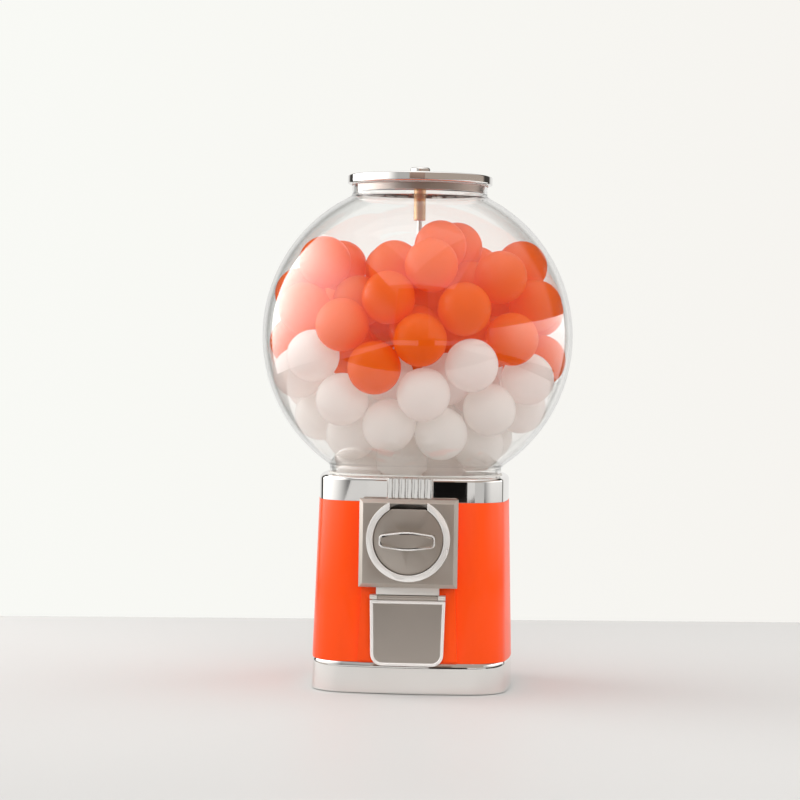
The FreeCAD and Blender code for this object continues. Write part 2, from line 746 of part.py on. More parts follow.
gear = []
flank = [base_circle + (pinion_tip - base_circle) * step / flank_steps for step in range(flank_steps + 1)]
for index in range(pinion_teeth):
    middle = 2.0 * math.pi * index / pinion_teeth
    left = [(radius, middle - tooth_half_angle(radius)) for radius in [pinion_root] + flank
            if radius >= pinion_root]
    right = [(radius, 2.0 * middle - angle) for radius, angle in reversed(left)]
    for radius, angle in left + right:
        gear.append((radius * math.sin(angle), dial_z + radius * math.cos(angle)))
pinion = front_slab(gear, pinion_front, pinion_back)
save("drive_pinion", pinion.cut(axle(spindle_bore, pinion_front, pinion_back, 0.0, dial_z)))

spindle_end = -pan_rim_outer - seat_gap
knob_front = carrier_front - knob_depth
knob_skin = 6.0
spindle_front = knob_front + knob_skin
save("spindle", axle(spindle_radius, spindle_front, spindle_end, 0.0, dial_z))
save("spindle_clip", sleeve(bush_radius, spindle_bore, pinion_back, spindle_end - 0.3, 0.0, dial_z))


def knob_wire(margin, y):
    """Handle outline: straight ends, cut corners, and long edges that bow out in the middle."""
    length = knob_half_length + margin
    end = knob_end_half_height + margin
    middle = knob_half_height + margin
    corner = knob_corner + 0.4 * margin
    edges = []
    for side in (1, -1):
        low, high, top = [vec(side * length, y, dial_z - side * (end - corner)),
                          vec(side * length, y, dial_z + side * (end - corner)),
                          vec(side * (length - corner), y, dial_z + side * end)]
        next_top = vec(-side * (length - corner), y, dial_z + side * end)
        next_side = vec(-side * length, y, dial_z + side * (end - corner))
        edges.append(Part.LineSegment(low, high))
        edges.append(Part.LineSegment(high, top))
        edges.append(Part.Arc(top, vec(0, y, dial_z + side * middle), next_top))
        edges.append(Part.LineSegment(next_top, next_side))
    return Part.Wire([edge.toShape() for edge in edges])


knob_draft = 1.2
knob = Part.makeLoft([knob_wire(knob_draft, carrier_front), knob_wire(0.0, knob_front)], True, True)
knob = knob.cut(Part.Face(knob_wire(-knob_border, knob_front)).extrude(vec(0, knob_recess, 0)))
knob = knob.cut(axle(spindle_bore, spindle_front, carrier_front, 0.0, dial_z))
save("dial_knob", knob)

# Pawl on its pin, with its coil spring
tip_reach = ratchet_radius + slip_fit
tip_angle = math.radians(125.0)
tip_x = tip_reach * math.cos(tip_angle)
tip_z = dial_z + tip_reach * math.sin(tip_angle)
lever = math.hypot(tip_x - pawl_x, tip_z - pawl_z)
along_x = (tip_x - pawl_x) / lever
along_z = (tip_z - pawl_z) / lever
pawl_half = 2.2
pawl_tip_thickness = 2.0
pawl_outline = [
    (pawl_x - along_z * pawl_half, pawl_z + along_x * pawl_half),
    (tip_x - along_z * pawl_tip_thickness, tip_z + along_x * pawl_tip_thickness),
    (tip_x, tip_z),
    (pawl_x + along_z * pawl_half, pawl_z - along_x * pawl_half),
]
pawl_back = bore_end - seat_gap
pawl_front = pawl_back - 3.0
pawl = front_slab(pawl_outline, pawl_front, pawl_back)
pawl = pawl.fuse(axle(pawl_eye_radius, pawl_front, pawl_back, pawl_x, pawl_z))
pawl = pawl.cut(axle(pawl_pin_radius + run_fit, pawl_front, pawl_back, pawl_x, pawl_z))
save("ratchet_pawl", pawl)

coil_pitch = 0.7
coils = 4
coil_radius = 3.0
coil_waist = 2.6
spring = None
for index in range(coils):
    start = pawl_front - seat_gap - (index + 1) * coil_pitch
    waist = start + coil_pitch / 2.0
    turn = sleeve(coil_radius, pawl_pin_radius + press_gap, start, waist, pawl_x, pawl_z)
    link = sleeve(coil_waist, pawl_pin_radius + press_gap, waist, start + coil_pitch, pawl_x, pawl_z)
    turn = turn.fuse(link)
    spring = turn if spring is None else spring.fuse(turn)
save("pawl_spring", spring)

# Ball chute from the outlet down to the mouth in the front
shaft_back = -pocket_pitch + chute_half_width - 0.5
shaft_front = -pocket_pitch - chute_half_width + 0.5
ramp_rise = 34.0
ramp_top = mouth_bottom + ramp_rise
chute_skin = [(shaft_front - chute_wall, pan_bottom), (shaft_back + chute_wall, pan_bottom),
              (shaft_back + chute_wall, ramp_top - chute_wall), (pad_face, mouth_bottom - chute_wall),
              (pad_face, mouth_top + chute_wall), (shaft_front - chute_wall, mouth_top + chute_wall)]
chute_space = [(shaft_front, pan_bottom), (shaft_back, pan_bottom), (shaft_back, ramp_top),
               (pad_face, mouth_bottom), (pad_face, mouth_top), (shaft_front, mouth_top)]
chute = side_slab(chute_skin, -chute_outer, chute_outer)
chute = chute.cut(side_slab(chute_space, -chute_half_width, chute_half_width))
save("chute", chute)

# Frame round the mouth, with the neck strip under the coin plate and the hinge lugs
frame_front = pad_face - frame_thickness
flap_back = frame_front - seat_gap
hinge_y = flap_back - knuckle_radius - 0.1
lug_top = hinge_height + knuckle_radius
strip_bottom = lug_top + slip_fit
strip_depth = 7.0
strip_front = pad_face - strip_depth
lug_width = 5.6
lug_inner = flap_half_top - lug_width
frame_low = mouth_bottom - chute_wall - 0.5
frame_right = [(frame_half - frame_corner_cut, frame_low), (frame_half, frame_low + frame_corner_cut),
               (frame_half, lug_top), (strip_half_width, lug_top), (strip_half_width, plate_bottom)]
frame_outline = frame_right + [(-x, z) for x, z in reversed(frame_right)]
frame = front_slab(frame_outline, frame_front, pad_face)
frame = frame.cut(block(-chute_half_width, chute_half_width, frame_front, pad_face, mouth_bottom, mouth_top))
frame = frame.fuse(block(-strip_half_width, strip_half_width, strip_front, pad_face, strip_bottom,
                         plate_bottom))
for side in (-1, 1):
    x0, x1 = sorted((side * lug_inner, side * flap_half_top))
    lug = cross_pin(knuckle_radius, x0, x1, hinge_y, hinge_height)
    web = block(x0, x1, hinge_y, pad_face, hinge_height - 1.5, lug_top)
    frame = frame.fuse(lug.fuse(web))
frame = frame.cut(cross_pin(hinge_pin_radius + press_gap, -flap_half_top, flap_half_top,
                            hinge_y, hinge_height))
chute_screws = []
chute_screw_bite = 5.0
head_back = frame_front + 1.0
for x, z in chute_screw_places():
    frame = frame.cut(axle(chute_screw_radius + press_gap, frame_front, pad_face, x, z))
    frame = frame.cut(axle(chute_screw_head + press_gap, frame_front, head_back, x, z))
    shank = axle(chute_screw_radius, head_back, pad_face + chute_screw_bite, x, z)
    chute_screws.append(shank.fuse(axle(chute_screw_head, frame_front, head_back, x, z)))
save("chute_frame", frame.removeSplitter())
save("chute_screws", *chute_screws)
save("flap_pin", cross_pin(hinge_pin_radius, -flap_half_top, flap_half_top, hinge_y, hinge_height))

# Flap that hangs on the pin
flap_front = flap_back - flap_thickness
flap_top = hinge_height - knuckle_radius - seat_gap


def flap_slab(margin, y0, y1):
    """Slab of the flap's outline, drawn in by a margin, with its lower corners rounded."""
    right = [(flap_half_bottom - margin, flap_bottom + margin), (flap_half_top - margin, flap_top - margin)]
    slab = front_slab(right + [(-x, z) for x, z in reversed(right)], y0, y1)
    lower = []
    for edge in slab.Edges:
        if all(abs(vertex.Z - flap_bottom - margin) < 1e-6 for vertex in edge.Vertexes):
            if abs(edge.Vertexes[0].Y - edge.Vertexes[1].Y) > 1e-6:
                lower.append(edge)
    return slab.makeFillet(flap_corner - margin, lower)


flap = flap_slab(0.0, flap_front, flap_back)
flap = flap.cut(flap_slab(flap_border, flap_front, flap_front + flap_recess))
knuckle_half = lug_inner - seat_gap
flap = flap.fuse(block(-knuckle_half, knuckle_half, flap_front + flap_recess, flap_back, flap_top - 1.0,
                       hinge_height))
flap = flap.fuse(cross_pin(knuckle_radius, -knuckle_half, knuckle_half, hinge_y, hinge_height))
flap = flap.cut(cross_pin(hinge_pin_radius + run_fit, -knuckle_half, knuckle_half, hinge_y, hinge_height))
save("flap", flap.removeSplitter())

# Balls in the globe. The ones that show from the front start from chosen places, given as the distance
# right of the rod, the height, and the depth as a share of the way from the rod to the glass. The rest
# start from stacked layers and settle under their own weight until none overlap.
orange_places = [(7, 274, 1.0), (-28, 252, 1.0), (-57, 282, 1.0), (40, 298, 1.0), (76, 276, 1.0),
                 (-21, 304, 0.9), (12, 330, 0.95), (-85, 297, 0.9), (64, 323, 0.85), (-72, 331, 0.7),
                 (-12, 332, 0.55), (94, 304, 0.6), (14, 343, 0.45), (29, 349, 0.0), (87, 327, 0.0),
                 (-27, 331, 0.0), (-43, 306, 0.45), (44, 319, 0.35), (-64, 327, 0.0), (-97, 310, 0.1),
                 (103, 295, 0.0), (103, 261, 0.1), (-58, 265, 0.45), (-99, 277, 0.1)]
white_places = [(46, 255, 1.0), (10, 232, 1.0), (-20, 209, 1.0), (22, 202, 1.0), (-56, 230, 1.0),
                (-93, 253, 0.9), (59, 221, 0.85), (90, 242, 0.8), (52, 193, 0.8), (88, 218, 0.2),
                (61, 191, 0.0), (-49, 199, 0.8), (-9, 182, 0.95), (-48, 179, 0.4)]
places_centre = 277.6
shown_count = len(orange_places) + len(white_places)
ball_spacing = 2.0 * ball_radius + ball_gap
glass_reach = globe_inner - ball_radius - ball_gap
edge_reach = ball_radius + ball_gap
rod_reach = rod_radius + ball_radius + ball_gap
heap_side_rise = 35.0
heap_middle_rise = 55.0
white_drop = 16.0
layer_count = 7
row_reach = 4
layer_shift = 14.0
row_shift = 11.0
column_shift = 8.0
crowding = 0.66


def floor_under(x, y):
    near_guard = math.hypot(x, y + pocket_pitch) < guard_radius + ball_radius
    return (guard_top if near_guard else wheel_top) + ball_gap + ball_radius


def kept_inside(x, y, z):
    """Moves a ball's centre clear of the rod, the floor, the glass and the neck's edge."""
    radius = math.hypot(x, y)
    if radius < rod_reach:
        away_x, away_y = (x / radius, y / radius) if radius > 1e-6 else (1.0, 0.0)
        x, y, radius = away_x * rod_reach, away_y * rod_reach, rod_reach
    height = z - globe_centre
    reach = math.hypot(radius, height)
    meets_glass = globe_centre + globe_inner * height / reach > neck_edge
    if meets_glass and reach > glass_reach:
        share = glass_reach / reach
        x, y, z = x * share, y * share, globe_centre + height * share
    if not meets_glass:
        gap = math.hypot(lower_inner - radius, z - neck_edge)
        if gap < edge_reach:
            new_radius = lower_inner - (lower_inner - radius) * edge_reach / gap
            z = neck_edge + (z - neck_edge) * edge_reach / gap
            x, y = x * new_radius / radius, y * new_radius / radius
    return x, y, max(z, floor_under(x, y))


def shown_places():
    places = []
    for x, height, depth_share in orange_places + white_places:
        z = height + globe_centre - places_centre
        room = glass_reach ** 2 - x * x - (z - globe_centre) ** 2
        places.append(kept_inside(float(x), -depth_share * math.sqrt(max(room, 0.0)), z))
    return places


def layered_places(taken):
    """Places in stacked layers, under the heap's surface and clear of the places already taken."""
    places = list(taken)
    layer_step = ball_spacing * math.sqrt(2.0 / 3.0)
    row_step = ball_spacing * math.sqrt(3.0) / 2.0
    for layer in range(layer_count):
        z = wheel_top + ball_radius + ball_gap + layer * layer_step
        for row in range(-row_reach, row_reach + 1):
            for column in range(-row_reach, row_reach + 1):
                x = (column + 0.5 * (row % 2)) * ball_spacing + column_shift + layer_shift * (layer % 2)
                y = row * row_step + row_shift * (layer % 3)
                radius = math.hypot(x, y)
                rise = heap_middle_rise + (heap_side_rise - heap_middle_rise) * radius / globe_inner
                if math.hypot(radius, z - globe_centre) > glass_reach or z > globe_centre + rise:
                    continue
                if min(math.dist((x, y, z), place) for place in places) > crowding * ball_spacing:
                    places.append((x, y, z))
    return places[len(taken):]


def settled(shown, layered):
    """Pulls the layered balls down a little at a time and pushes apart those that overlap.

    The balls that show are drawn back towards their places, ever more weakly, and give way less.
    """
    rounds = 700
    pull_rounds = 350
    hold_rounds = 500
    first_pull = 0.5
    first_hold = 0.3
    shown_give = 0.15
    balls = [list(place) for place in shown + layered]
    for step in range(rounds):
        pull = first_pull * max(0.0, 1.0 - step / pull_rounds)
        hold = first_hold * max(0.0, 1.0 - step / hold_rounds)
        for ball, place in zip(balls, shown):
            for axis in range(3):
                ball[axis] += hold * (place[axis] - ball[axis])
        for ball in balls[len(shown):]:
            ball[2] -= pull
        for first in range(len(balls)):
            a = balls[first]
            for second in range(first + 1, len(balls)):
                b = balls[second]
                dx = b[0] - a[0]
                if dx > ball_spacing or dx < -ball_spacing:
                    continue
                dz = b[2] - a[2]
                if dz > ball_spacing or dz < -ball_spacing:
                    continue
                dy = b[1] - a[1]
                gap = math.sqrt(dx * dx + dy * dy + dz * dz)
                if 1e-6 < gap < ball_spacing:
                    give = shown_give if first < len(shown) <= second else 0.5
                    push = (ball_spacing - gap) / gap
                    for axis, step_apart in enumerate((dx, dy, dz)):
                        a[axis] -= give * push * step_apart
                        b[axis] += (1.0 - give) * push * step_apart
        for ball in balls:
            ball[:] = kept_inside(*ball)
    return balls


shown_balls = shown_places()
white_balls = []
orange_balls = []
for index, (x, y, z) in enumerate(settled(shown_balls, layered_places(shown_balls))):
    white = index >= len(orange_places) if index < shown_count else z < globe_centre - white_drop
    (white_balls if white else orange_balls).append(ball_at(x, y, z))
save("white_balls", *white_balls)
save("orange_balls", *orange_balls)
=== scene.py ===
import math

import bmesh
import bpy
from mathutils import Matrix, Vector


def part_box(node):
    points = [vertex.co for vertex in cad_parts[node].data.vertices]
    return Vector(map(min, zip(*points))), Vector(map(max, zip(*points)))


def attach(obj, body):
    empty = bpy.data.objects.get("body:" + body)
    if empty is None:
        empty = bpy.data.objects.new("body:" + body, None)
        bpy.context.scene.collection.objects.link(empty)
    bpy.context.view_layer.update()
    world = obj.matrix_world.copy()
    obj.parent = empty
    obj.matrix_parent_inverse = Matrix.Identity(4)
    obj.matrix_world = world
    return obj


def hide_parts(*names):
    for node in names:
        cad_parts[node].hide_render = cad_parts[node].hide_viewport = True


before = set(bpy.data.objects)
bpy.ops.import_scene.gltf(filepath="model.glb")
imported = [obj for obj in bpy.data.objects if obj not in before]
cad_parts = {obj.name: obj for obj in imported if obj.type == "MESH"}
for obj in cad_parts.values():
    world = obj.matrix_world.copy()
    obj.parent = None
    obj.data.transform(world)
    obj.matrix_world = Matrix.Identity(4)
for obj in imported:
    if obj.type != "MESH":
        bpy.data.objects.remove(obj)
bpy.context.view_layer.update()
scene = bpy.context.scene
scene.view_settings.view_transform = "Standard"


# Rubber feet: four moulded pads under the base plate. Black rubber, matt from the mould,
# each held by its own screw from inside the base.
def new_material(name, **values):
    """Material with one Principled BSDF, its plain values set on its own sockets."""
    material = bpy.data.materials.new(name)
    material.use_nodes = True
    shader = material.node_tree.nodes["Principled BSDF"]
    for socket, value in values.items():
        shader.inputs[socket.replace("_", " ")].default_value = value
    return material


def add_node(tree, kind, **values):
    """Node with its settings and plain inputs given by name."""
    node = tree.nodes.new(kind)
    for name, value in values.items():
        if name in node.bl_rna.properties:
            setattr(node, name, value)
        else:
            node.inputs[name.replace("_", " ")].default_value = value
    return node


def new_group(name, inputs, outputs):
    """Shader node group with float sockets; gives the group and its two end nodes."""
    group = bpy.data.node_groups.new(name, "ShaderNodeTree")
    for label, value in inputs.items():
        socket = group.interface.new_socket(name=label, in_out="INPUT", socket_type="NodeSocketFloat")
        socket.default_value = value
    for label in outputs:
        group.interface.new_socket(name=label, in_out="OUTPUT", socket_type="NodeSocketFloat")
    return group, add_node(group, "NodeGroupInput"), add_node(group, "NodeGroupOutput")


def make_handled_surface():
    """Group: roughness that drifts with smudges, and the height of a fine grain."""
    group, given, result = new_group(
        "handled_surface",
        {"Low": 0.2, "High": 0.4, "Smudge Scale": 18.0, "Grain Scale": 900.0},
        ("Roughness", "Smudge", "Grain"))
    place = add_node(group, "ShaderNodeTexCoord")
    smudge = add_node(group, "ShaderNodeTexNoise", Detail=3.0, Roughness=0.5)
    grain = add_node(group, "ShaderNodeTexNoise", Detail=3.0, Roughness=0.65)
    spread = add_node(group, "ShaderNodeMapRange", From_Min=0.25, From_Max=0.75, interpolation_type="SMOOTHSTEP")
    link = group.links.new
    link(place.outputs["Object"], smudge.inputs["Vector"])
    link(place.outputs["Object"], grain.inputs["Vector"])
    link(given.outputs["Smudge Scale"], smudge.inputs["Scale"])
    link(given.outputs["Grain Scale"], grain.inputs["Scale"])
    link(smudge.outputs["Fac"], spread.inputs["Value"])
    link(given.outputs["Low"], spread.inputs["To Min"])
    link(given.outputs["High"], spread.inputs["To Max"])
    link(spread.outputs["Result"], result.inputs["Roughness"])
    link(smudge.outputs["Fac"], result.inputs["Smudge"])
    link(grain.outputs["Fac"], result.inputs["Grain"])
    return group


def make_edge_wear():
    """Group: a broken mask along the edges, where hands and cloths rub a finish."""
    group, given, result = new_group("edge_wear", {"Width": 0.0006, "Break Scale": 160.0}, ("Wear",))
    place = add_node(group, "ShaderNodeTexCoord")
    rounded = add_node(group, "ShaderNodeBevel", samples=4)
    surface = add_node(group, "ShaderNodeNewGeometry")
    turn = add_node(group, "ShaderNodeVectorMath", operation="DOT_PRODUCT")
    edge = add_node(group, "ShaderNodeMapRange", From_Min=0.99, From_Max=0.82)
    breaks = add_node(group, "ShaderNodeTexNoise", Detail=5.0, Roughness=0.7)
    patches = add_node(group, "ShaderNodeMapRange", From_Min=0.35, From_Max=0.62, To_Min=0.15)
    wear = add_node(group, "ShaderNodeMath", operation="MULTIPLY")
    link = group.links.new
    link(given.outputs["Width"], rounded.inputs["Radius"])
    link(given.outputs["Break Scale"], breaks.inputs["Scale"])
    link(place.outputs["Object"], breaks.inputs["Vector"])
    link(rounded.outputs["Normal"], turn.inputs[0])
    link(surface.outputs["Normal"], turn.inputs[1])
    link(turn.outputs["Value"], edge.inputs["Value"])
    link(breaks.outputs["Fac"], patches.inputs["Value"])
    link(edge.outputs["Result"], wear.inputs[0])
    link(patches.outputs["Result"], wear.inputs[1])
    link(wear.outputs["Value"], result.inputs["Wear"])
    return group


handled_surface = make_handled_surface()
edge_wear = make_edge_wear()


def mixed_colour(tree, first, second, mask):
    """Socket of a colour that goes from first, a colour or a socket, to second by a mask."""
    mix = add_node(tree, "ShaderNodeMix", data_type="RGBA")
    start, end = [socket for socket in mix.inputs if socket.type == "RGBA"]
    if isinstance(first, bpy.types.NodeSocket):
        tree.links.new(first, start)
    else:
        start.default_value = (*first, 1.0)
    end.default_value = (*second, 1.0)
    tree.links.new(mask, mix.inputs["Factor"])
    return next(socket for socket in mix.outputs if socket.type == "RGBA")


def dress(material, rough, smudge_scale, grain, dark, light, worn=None):
    """Lays smudges, grain and edge wear over a material; rough and grain are (low, high) and (scale, height)."""
    tree = material.node_tree
    shader = tree.nodes["Principled BSDF"]
    surface = add_node(tree, "ShaderNodeGroup", node_tree=handled_surface)
    values = {"Low": rough[0], "High": rough[1], "Smudge Scale": smudge_scale, "Grain Scale": grain[0]}
    for name, value in values.items():
        surface.inputs[name].default_value = value
    relief = add_node(tree, "ShaderNodeBump", Strength=grain[1], Distance=0.0002)
    tree.links.new(surface.outputs["Roughness"], shader.inputs["Roughness"])
    tree.links.new(surface.outputs["Grain"], relief.inputs["Height"])
    tree.links.new(relief.outputs["Normal"], shader.inputs["Normal"])
    colour = mixed_colour(tree, dark, light, surface.outputs["Smudge"])
    if worn:
        edges = add_node(tree, "ShaderNodeGroup", node_tree=edge_wear)
        colour = mixed_colour(tree, colour, worn, edges.outputs["Wear"])
    tree.links.new(colour, shader.inputs["Base Color"])
    return material


def paint_node(node, material):
    """Gives a CAD piece that keeps its own shape its finish."""
    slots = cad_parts[node].data.materials
    slots.clear()
    slots.append(material)


black_rubber = dress(new_material("black_rubber"), (0.6, 0.85), 60.0, (1500.0, 0.3),
                     (0.012, 0.012, 0.012), (0.03, 0.03, 0.03))
paint_node("rubber_feet", black_rubber)

# Base plate, screws, washer and rod nut: pressed and turned steel, zinc plated.
# They close the underside and clamp the whole stack of castings on the rod.
zinc_steel = dress(new_material("zinc_steel", Metallic=1.0), (0.28, 0.5), 30.0, (700.0, 0.1),
                   (0.45, 0.45, 0.43), (0.66, 0.66, 0.63))
for node in ("base_plate", "base_screws", "rod_washer", "rod_nut", "hopper_screws",
             "mech_screws", "coin_guide", "chute_screws", "lock_nut"):
    paint_node(node, zinc_steel)

# Base skirt: a deep chromed casting that the body stands on. Its top edge is rolled in,
# so that a fine groove shows under the paint, and its foot is rounded off.
side_radius = 0.330
corner_radius = 0.032
ring_steps = 320


def square_reach(angle, half, inset):
    """How far a square with bulged sides and round corners reaches from its middle, in one direction."""
    quarter = math.pi / 2.0
    turn = abs((angle + quarter / 2.0) % quarter - quarter / 2.0)
    middle = half - side_radius
    span = side_radius - corner_radius
    corner = (middle + math.sqrt(2.0 * span ** 2 - middle ** 2)) / 2.0
    side = side_radius - inset
    touch = math.atan2(side * corner / span, middle + side * (corner - middle) / span)
    if turn < touch:
        return middle * math.cos(turn) + math.sqrt(side ** 2 - (middle * math.sin(turn)) ** 2)
    along = corner * (math.cos(turn) + math.sin(turn))
    return along + math.sqrt((corner_radius - inset) ** 2 - 2.0 * corner ** 2 + along ** 2)


def square(half, inset, height):
    """Level of a wall that follows the bulged square, drawn in by an inset."""
    return (lambda angle: square_reach(angle, half, inset)), height


def circle(radius, height):
    """Level of a wall that is round."""
    return (lambda angle: radius), height


def ring_wall(levels):
    """Closed ring through the levels, from the foot of the outside round to the foot of the inside."""
    mesh = bmesh.new()
    verts = bmesh.ops.create_circle(mesh, segments=ring_steps, radius=1.0)["verts"]
    first = mesh.edges[:]
    edges = first
    for index, (reach, height) in enumerate(levels):
        if index:
            grown = bmesh.ops.extrude_edge_only(mesh, edges=edges)["geom"]
            verts = [item for item in grown if isinstance(item, bmesh.types.BMVert)]
            edges = [item for item in grown if isinstance(item, bmesh.types.BMEdge)
                     and item.verts[0] in verts and item.verts[1] in verts]
        for vert in verts:
            angle = math.atan2(vert.co.y, vert.co.x)
            vert.co = (reach(angle) * math.cos(angle), reach(angle) * math.sin(angle), height)
    bmesh.ops.bridge_loops(mesh, edges=first + edges)
    bmesh.ops.recalc_face_normals(mesh, faces=mesh.faces)
    return mesh


def quarter_turn(steps):
    """Cosine and sine at even steps of a quarter turn."""
    angles = [0.5 * math.pi * step / steps for step in range(steps + 1)]
    return [(math.cos(angle), math.sin(angle)) for angle in angles]


def add_piece(mesh, name, body, slot, material, *nodes, edge=0.0, sharp=30.0):
    """Makes the mesh a piece that rides on a body; sharp edges are rounded off or kept crisp."""
    limit = math.radians(sharp)
    for face in mesh.faces:
        face.smooth = True
    if not edge:
        for line in mesh.edges:
            line.smooth = len(line.link_faces) != 2 or line.calc_face_angle() < limit
    data = bpy.data.meshes.new(name)
    mesh.to_mesh(data)
    mesh.free()
    data.materials.append(material)
    piece = bpy.data.objects.new(name, data)
    scene.collection.objects.link(piece)
    if not edge:
        shading = piece.modifiers.new("even_shading", "WEIGHTED_NORMAL")
        shading.keep_sharp = True
    else:
        rounding = piece.modifiers.new("edge_round", "BEVEL")
        rounding.width = edge
        rounding.segments = 3
        rounding.limit_method = "ANGLE"
        rounding.angle_limit = limit
        rounding.harden_normals = True
        rounding.use_clamp_overlap = True
    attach(piece, body)
    if nodes:
        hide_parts(*nodes)
    return piece


def make_skirt():
    low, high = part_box("base_skirt")
    flare = 0.0006
    roll_depth = 0.001
    roll_height = 0.0055
    foot_round = 0.0006
    wall = 0.003
    roll_start = high.z - roll_height
    shoulder = high.x - flare
    levels = [square(high.x, foot_round * (1.0 - sin), low.z + foot_round * (1.0 - cos))
              for cos, sin in quarter_turn(3)]
    levels += [square(shoulder - roll_depth * (1.0 - cos), 0.0, roll_start + roll_height * sin)
               for cos, sin in quarter_turn(8)]
    levels.append(square(shoulder - roll_depth, wall, high.z))
    levels.append(square(high.x, wall, low.z))
    return ring_wall(levels)


chrome = dress(new_material("chrome", Metallic=1.0), (0.025, 0.06), 14.0, (600.0, 0.01),
               (0.80, 0.785, 0.765), (0.87, 0.86, 0.845))
add_piece(make_skirt(), "base_skirt_chrome", "housing", "chrome", chrome, "base_skirt", sharp=40.0)

# Coin tray in the base: a shallow black moulding that catches the coins.
# The ball chute is moulded in the same plastic and guides the ball to the mouth.
black_plastic = dress(new_material("black_plastic", Specular_IOR_Level=0.4), (0.4, 0.6), 40.0, (1200.0, 0.15),
                      (0.014, 0.014, 0.015), (0.035, 0.035, 0.036))
for node in ("coin_tray", "chute"):
    paint_node(node, black_plastic)

# Centre rod: thin drawn steel that runs from the base nut up to the lid's lock.
# The pins, ratchet, pawl and spindle in the body are of the same bright steel.
bright_steel = dress(new_material("bright_steel", Metallic=1.0), (0.14, 0.25), 50.0, (900.0, 0.06),
                     (0.5, 0.48, 0.46), (0.72, 0.71, 0.69))
for node in ("center_rod", "pawl_pin", "ratchet_wheel", "spindle", "spindle_clip", "ratchet_pawl",
             "pawl_spring", "flap_pin"):
    paint_node(node, bright_steel)


# Body: a tapered square casting with bulged sides and a raised pad on the front,
# sprayed in glossy orange enamel that thins a little along its edges.
def joined_copy(node):
    """Closed mesh of a CAD piece, its flat triangles joined into whole faces."""
    mesh = bmesh.new()
    mesh.from_mesh(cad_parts[node].data)
    bmesh.ops.remove_doubles(mesh, verts=mesh.verts, dist=1e-6)
    bmesh.ops.dissolve_limit(mesh, angle_limit=math.radians(0.3), verts=mesh.verts, edges=mesh.edges)
    return mesh


orange_enamel = dress(new_material("orange_enamel", Coat_Weight=0.14, Coat_Roughness=0.06, Specular_IOR_Level=0.15),
                      (0.3, 0.36), 9.0, (420.0, 0.015), (0.985, 0.076, 0.004), (0.995, 0.082, 0.005),
                      (0.99, 0.12, 0.015))
add_piece(joined_copy("body_shell"), "body_enamel", "housing", "orange_enamel", orange_enamel, "body_shell",
          edge=0.0008)


# Collar: a chromed casting on top of the body, with a rounded shoulder and a flat deck.
# The globe stands on it, on a thin white seal.
def make_collar():
    low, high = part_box("collar")
    shoulder = 0.0035
    hole = 0.0635
    hole_round = 0.0008
    deck = 0.003
    wall = 0.0025
    foot_round = 0.0003
    levels = [square(high.x, foot_round * (1.0 - sin), low.z + foot_round * (1.0 - cos))
              for cos, sin in quarter_turn(2)]
    levels += [square(high.x, shoulder * (1.0 - cos), high.z - shoulder * (1.0 - sin))
               for cos, sin in quarter_turn(8)]
    levels += [circle(hole + hole_round * (1.0 - sin), high.z - hole_round * (1.0 - cos))
               for cos, sin in quarter_turn(3)]
    levels.append(circle(hole, high.z - deck))
    levels.append(square(high.x, wall, high.z - deck))
    levels.append(square(high.x, wall, low.z))
    return ring_wall(levels)


add_piece(make_collar(), "collar_chrome", "housing", "chrome", chrome, "collar", sharp=40.0)
white_seal = dress(new_material("white_seal"), (0.45, 0.65), 80.0, (1500.0, 0.1),
                   (0.70, 0.69, 0.66), (0.82, 0.81, 0.78))
for node in ("globe_gasket", "lid_gasket"):
    paint_node(node, white_seal)


# Ribbed boss at the front of the collar: seven upright ribs side by side, cast with the collar
# and chromed with it. Each rib is rounded at its front and top.
def add_box(mesh, low, high):
    """Adds a box between two corners and gives its vertices."""
    size = Vector(high) - Vector(low)
    place = Matrix.Translation((Vector(high) + Vector(low)) / 2.0) @ Matrix.Diagonal((*size, 1.0))
    return bmesh.ops.create_cube(mesh, size=1.0, matrix=place)["verts"]


def round_front(mesh, verts, front, radius, steps):
    """Rounds the edges of a box's front face."""
    lines = {line for vert in verts for line in vert.link_edges}
    lines = [line for line in lines if all(abs(vert.co.y - front) < 1e-7 for vert in line.verts)]
    bmesh.ops.bevel(mesh, geom=lines, offset=radius, offset_type="OFFSET", affect="EDGES", segments=steps,
                    profile=0.5, material=-1, clamp_overlap=True)


def make_ribs():
    low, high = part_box("collar")
    pitch = 0.005
    count = 7
    half_width = 0.0019
    root = 0.003
    depth = 0.007
    top_gap = 0.0006
    rib_round = 0.0009
    half_span = 0.018
    mesh = bmesh.new()
    back = low.y + depth
    top = high.z - top_gap
    for index in range(count):
        x = (index - (count - 1) / 2.0) * pitch
        rib = add_box(mesh, (x - half_width, low.y, low.z), (x + half_width, back, top))
        round_front(mesh, rib, low.y, rib_round, 6)
    web = add_box(mesh, (-half_span, low.y + root, low.z), (half_span, back, top))
    round_front(mesh, web, low.y + root, rib_round, 6)
    return mesh


add_piece(make_ribs(), "collar_ribs", "housing", "chrome", chrome, sharp=40.0)

# Wheel, pan and works inside the body: moulded nylon and die-cast zinc. They carry the balls
# from the hopper to the chute when the handle is turned.
white_nylon = dress(new_material("white_nylon"), (0.35, 0.55), 40.0, (900.0, 0.08),
                    (0.72, 0.70, 0.65), (0.82, 0.80, 0.75))
zinc_casting = dress(new_material("zinc_casting", Metallic=1.0), (0.4, 0.6), 60.0, (1100.0, 0.3),
                     (0.36, 0.36, 0.35), (0.5, 0.5, 0.48))
for node in ("dispensing_wheel", "drive_pinion", "hopper_pan", "ball_guard"):
    paint_node(node, white_nylon)
paint_node("mech_housing", zinc_casting)


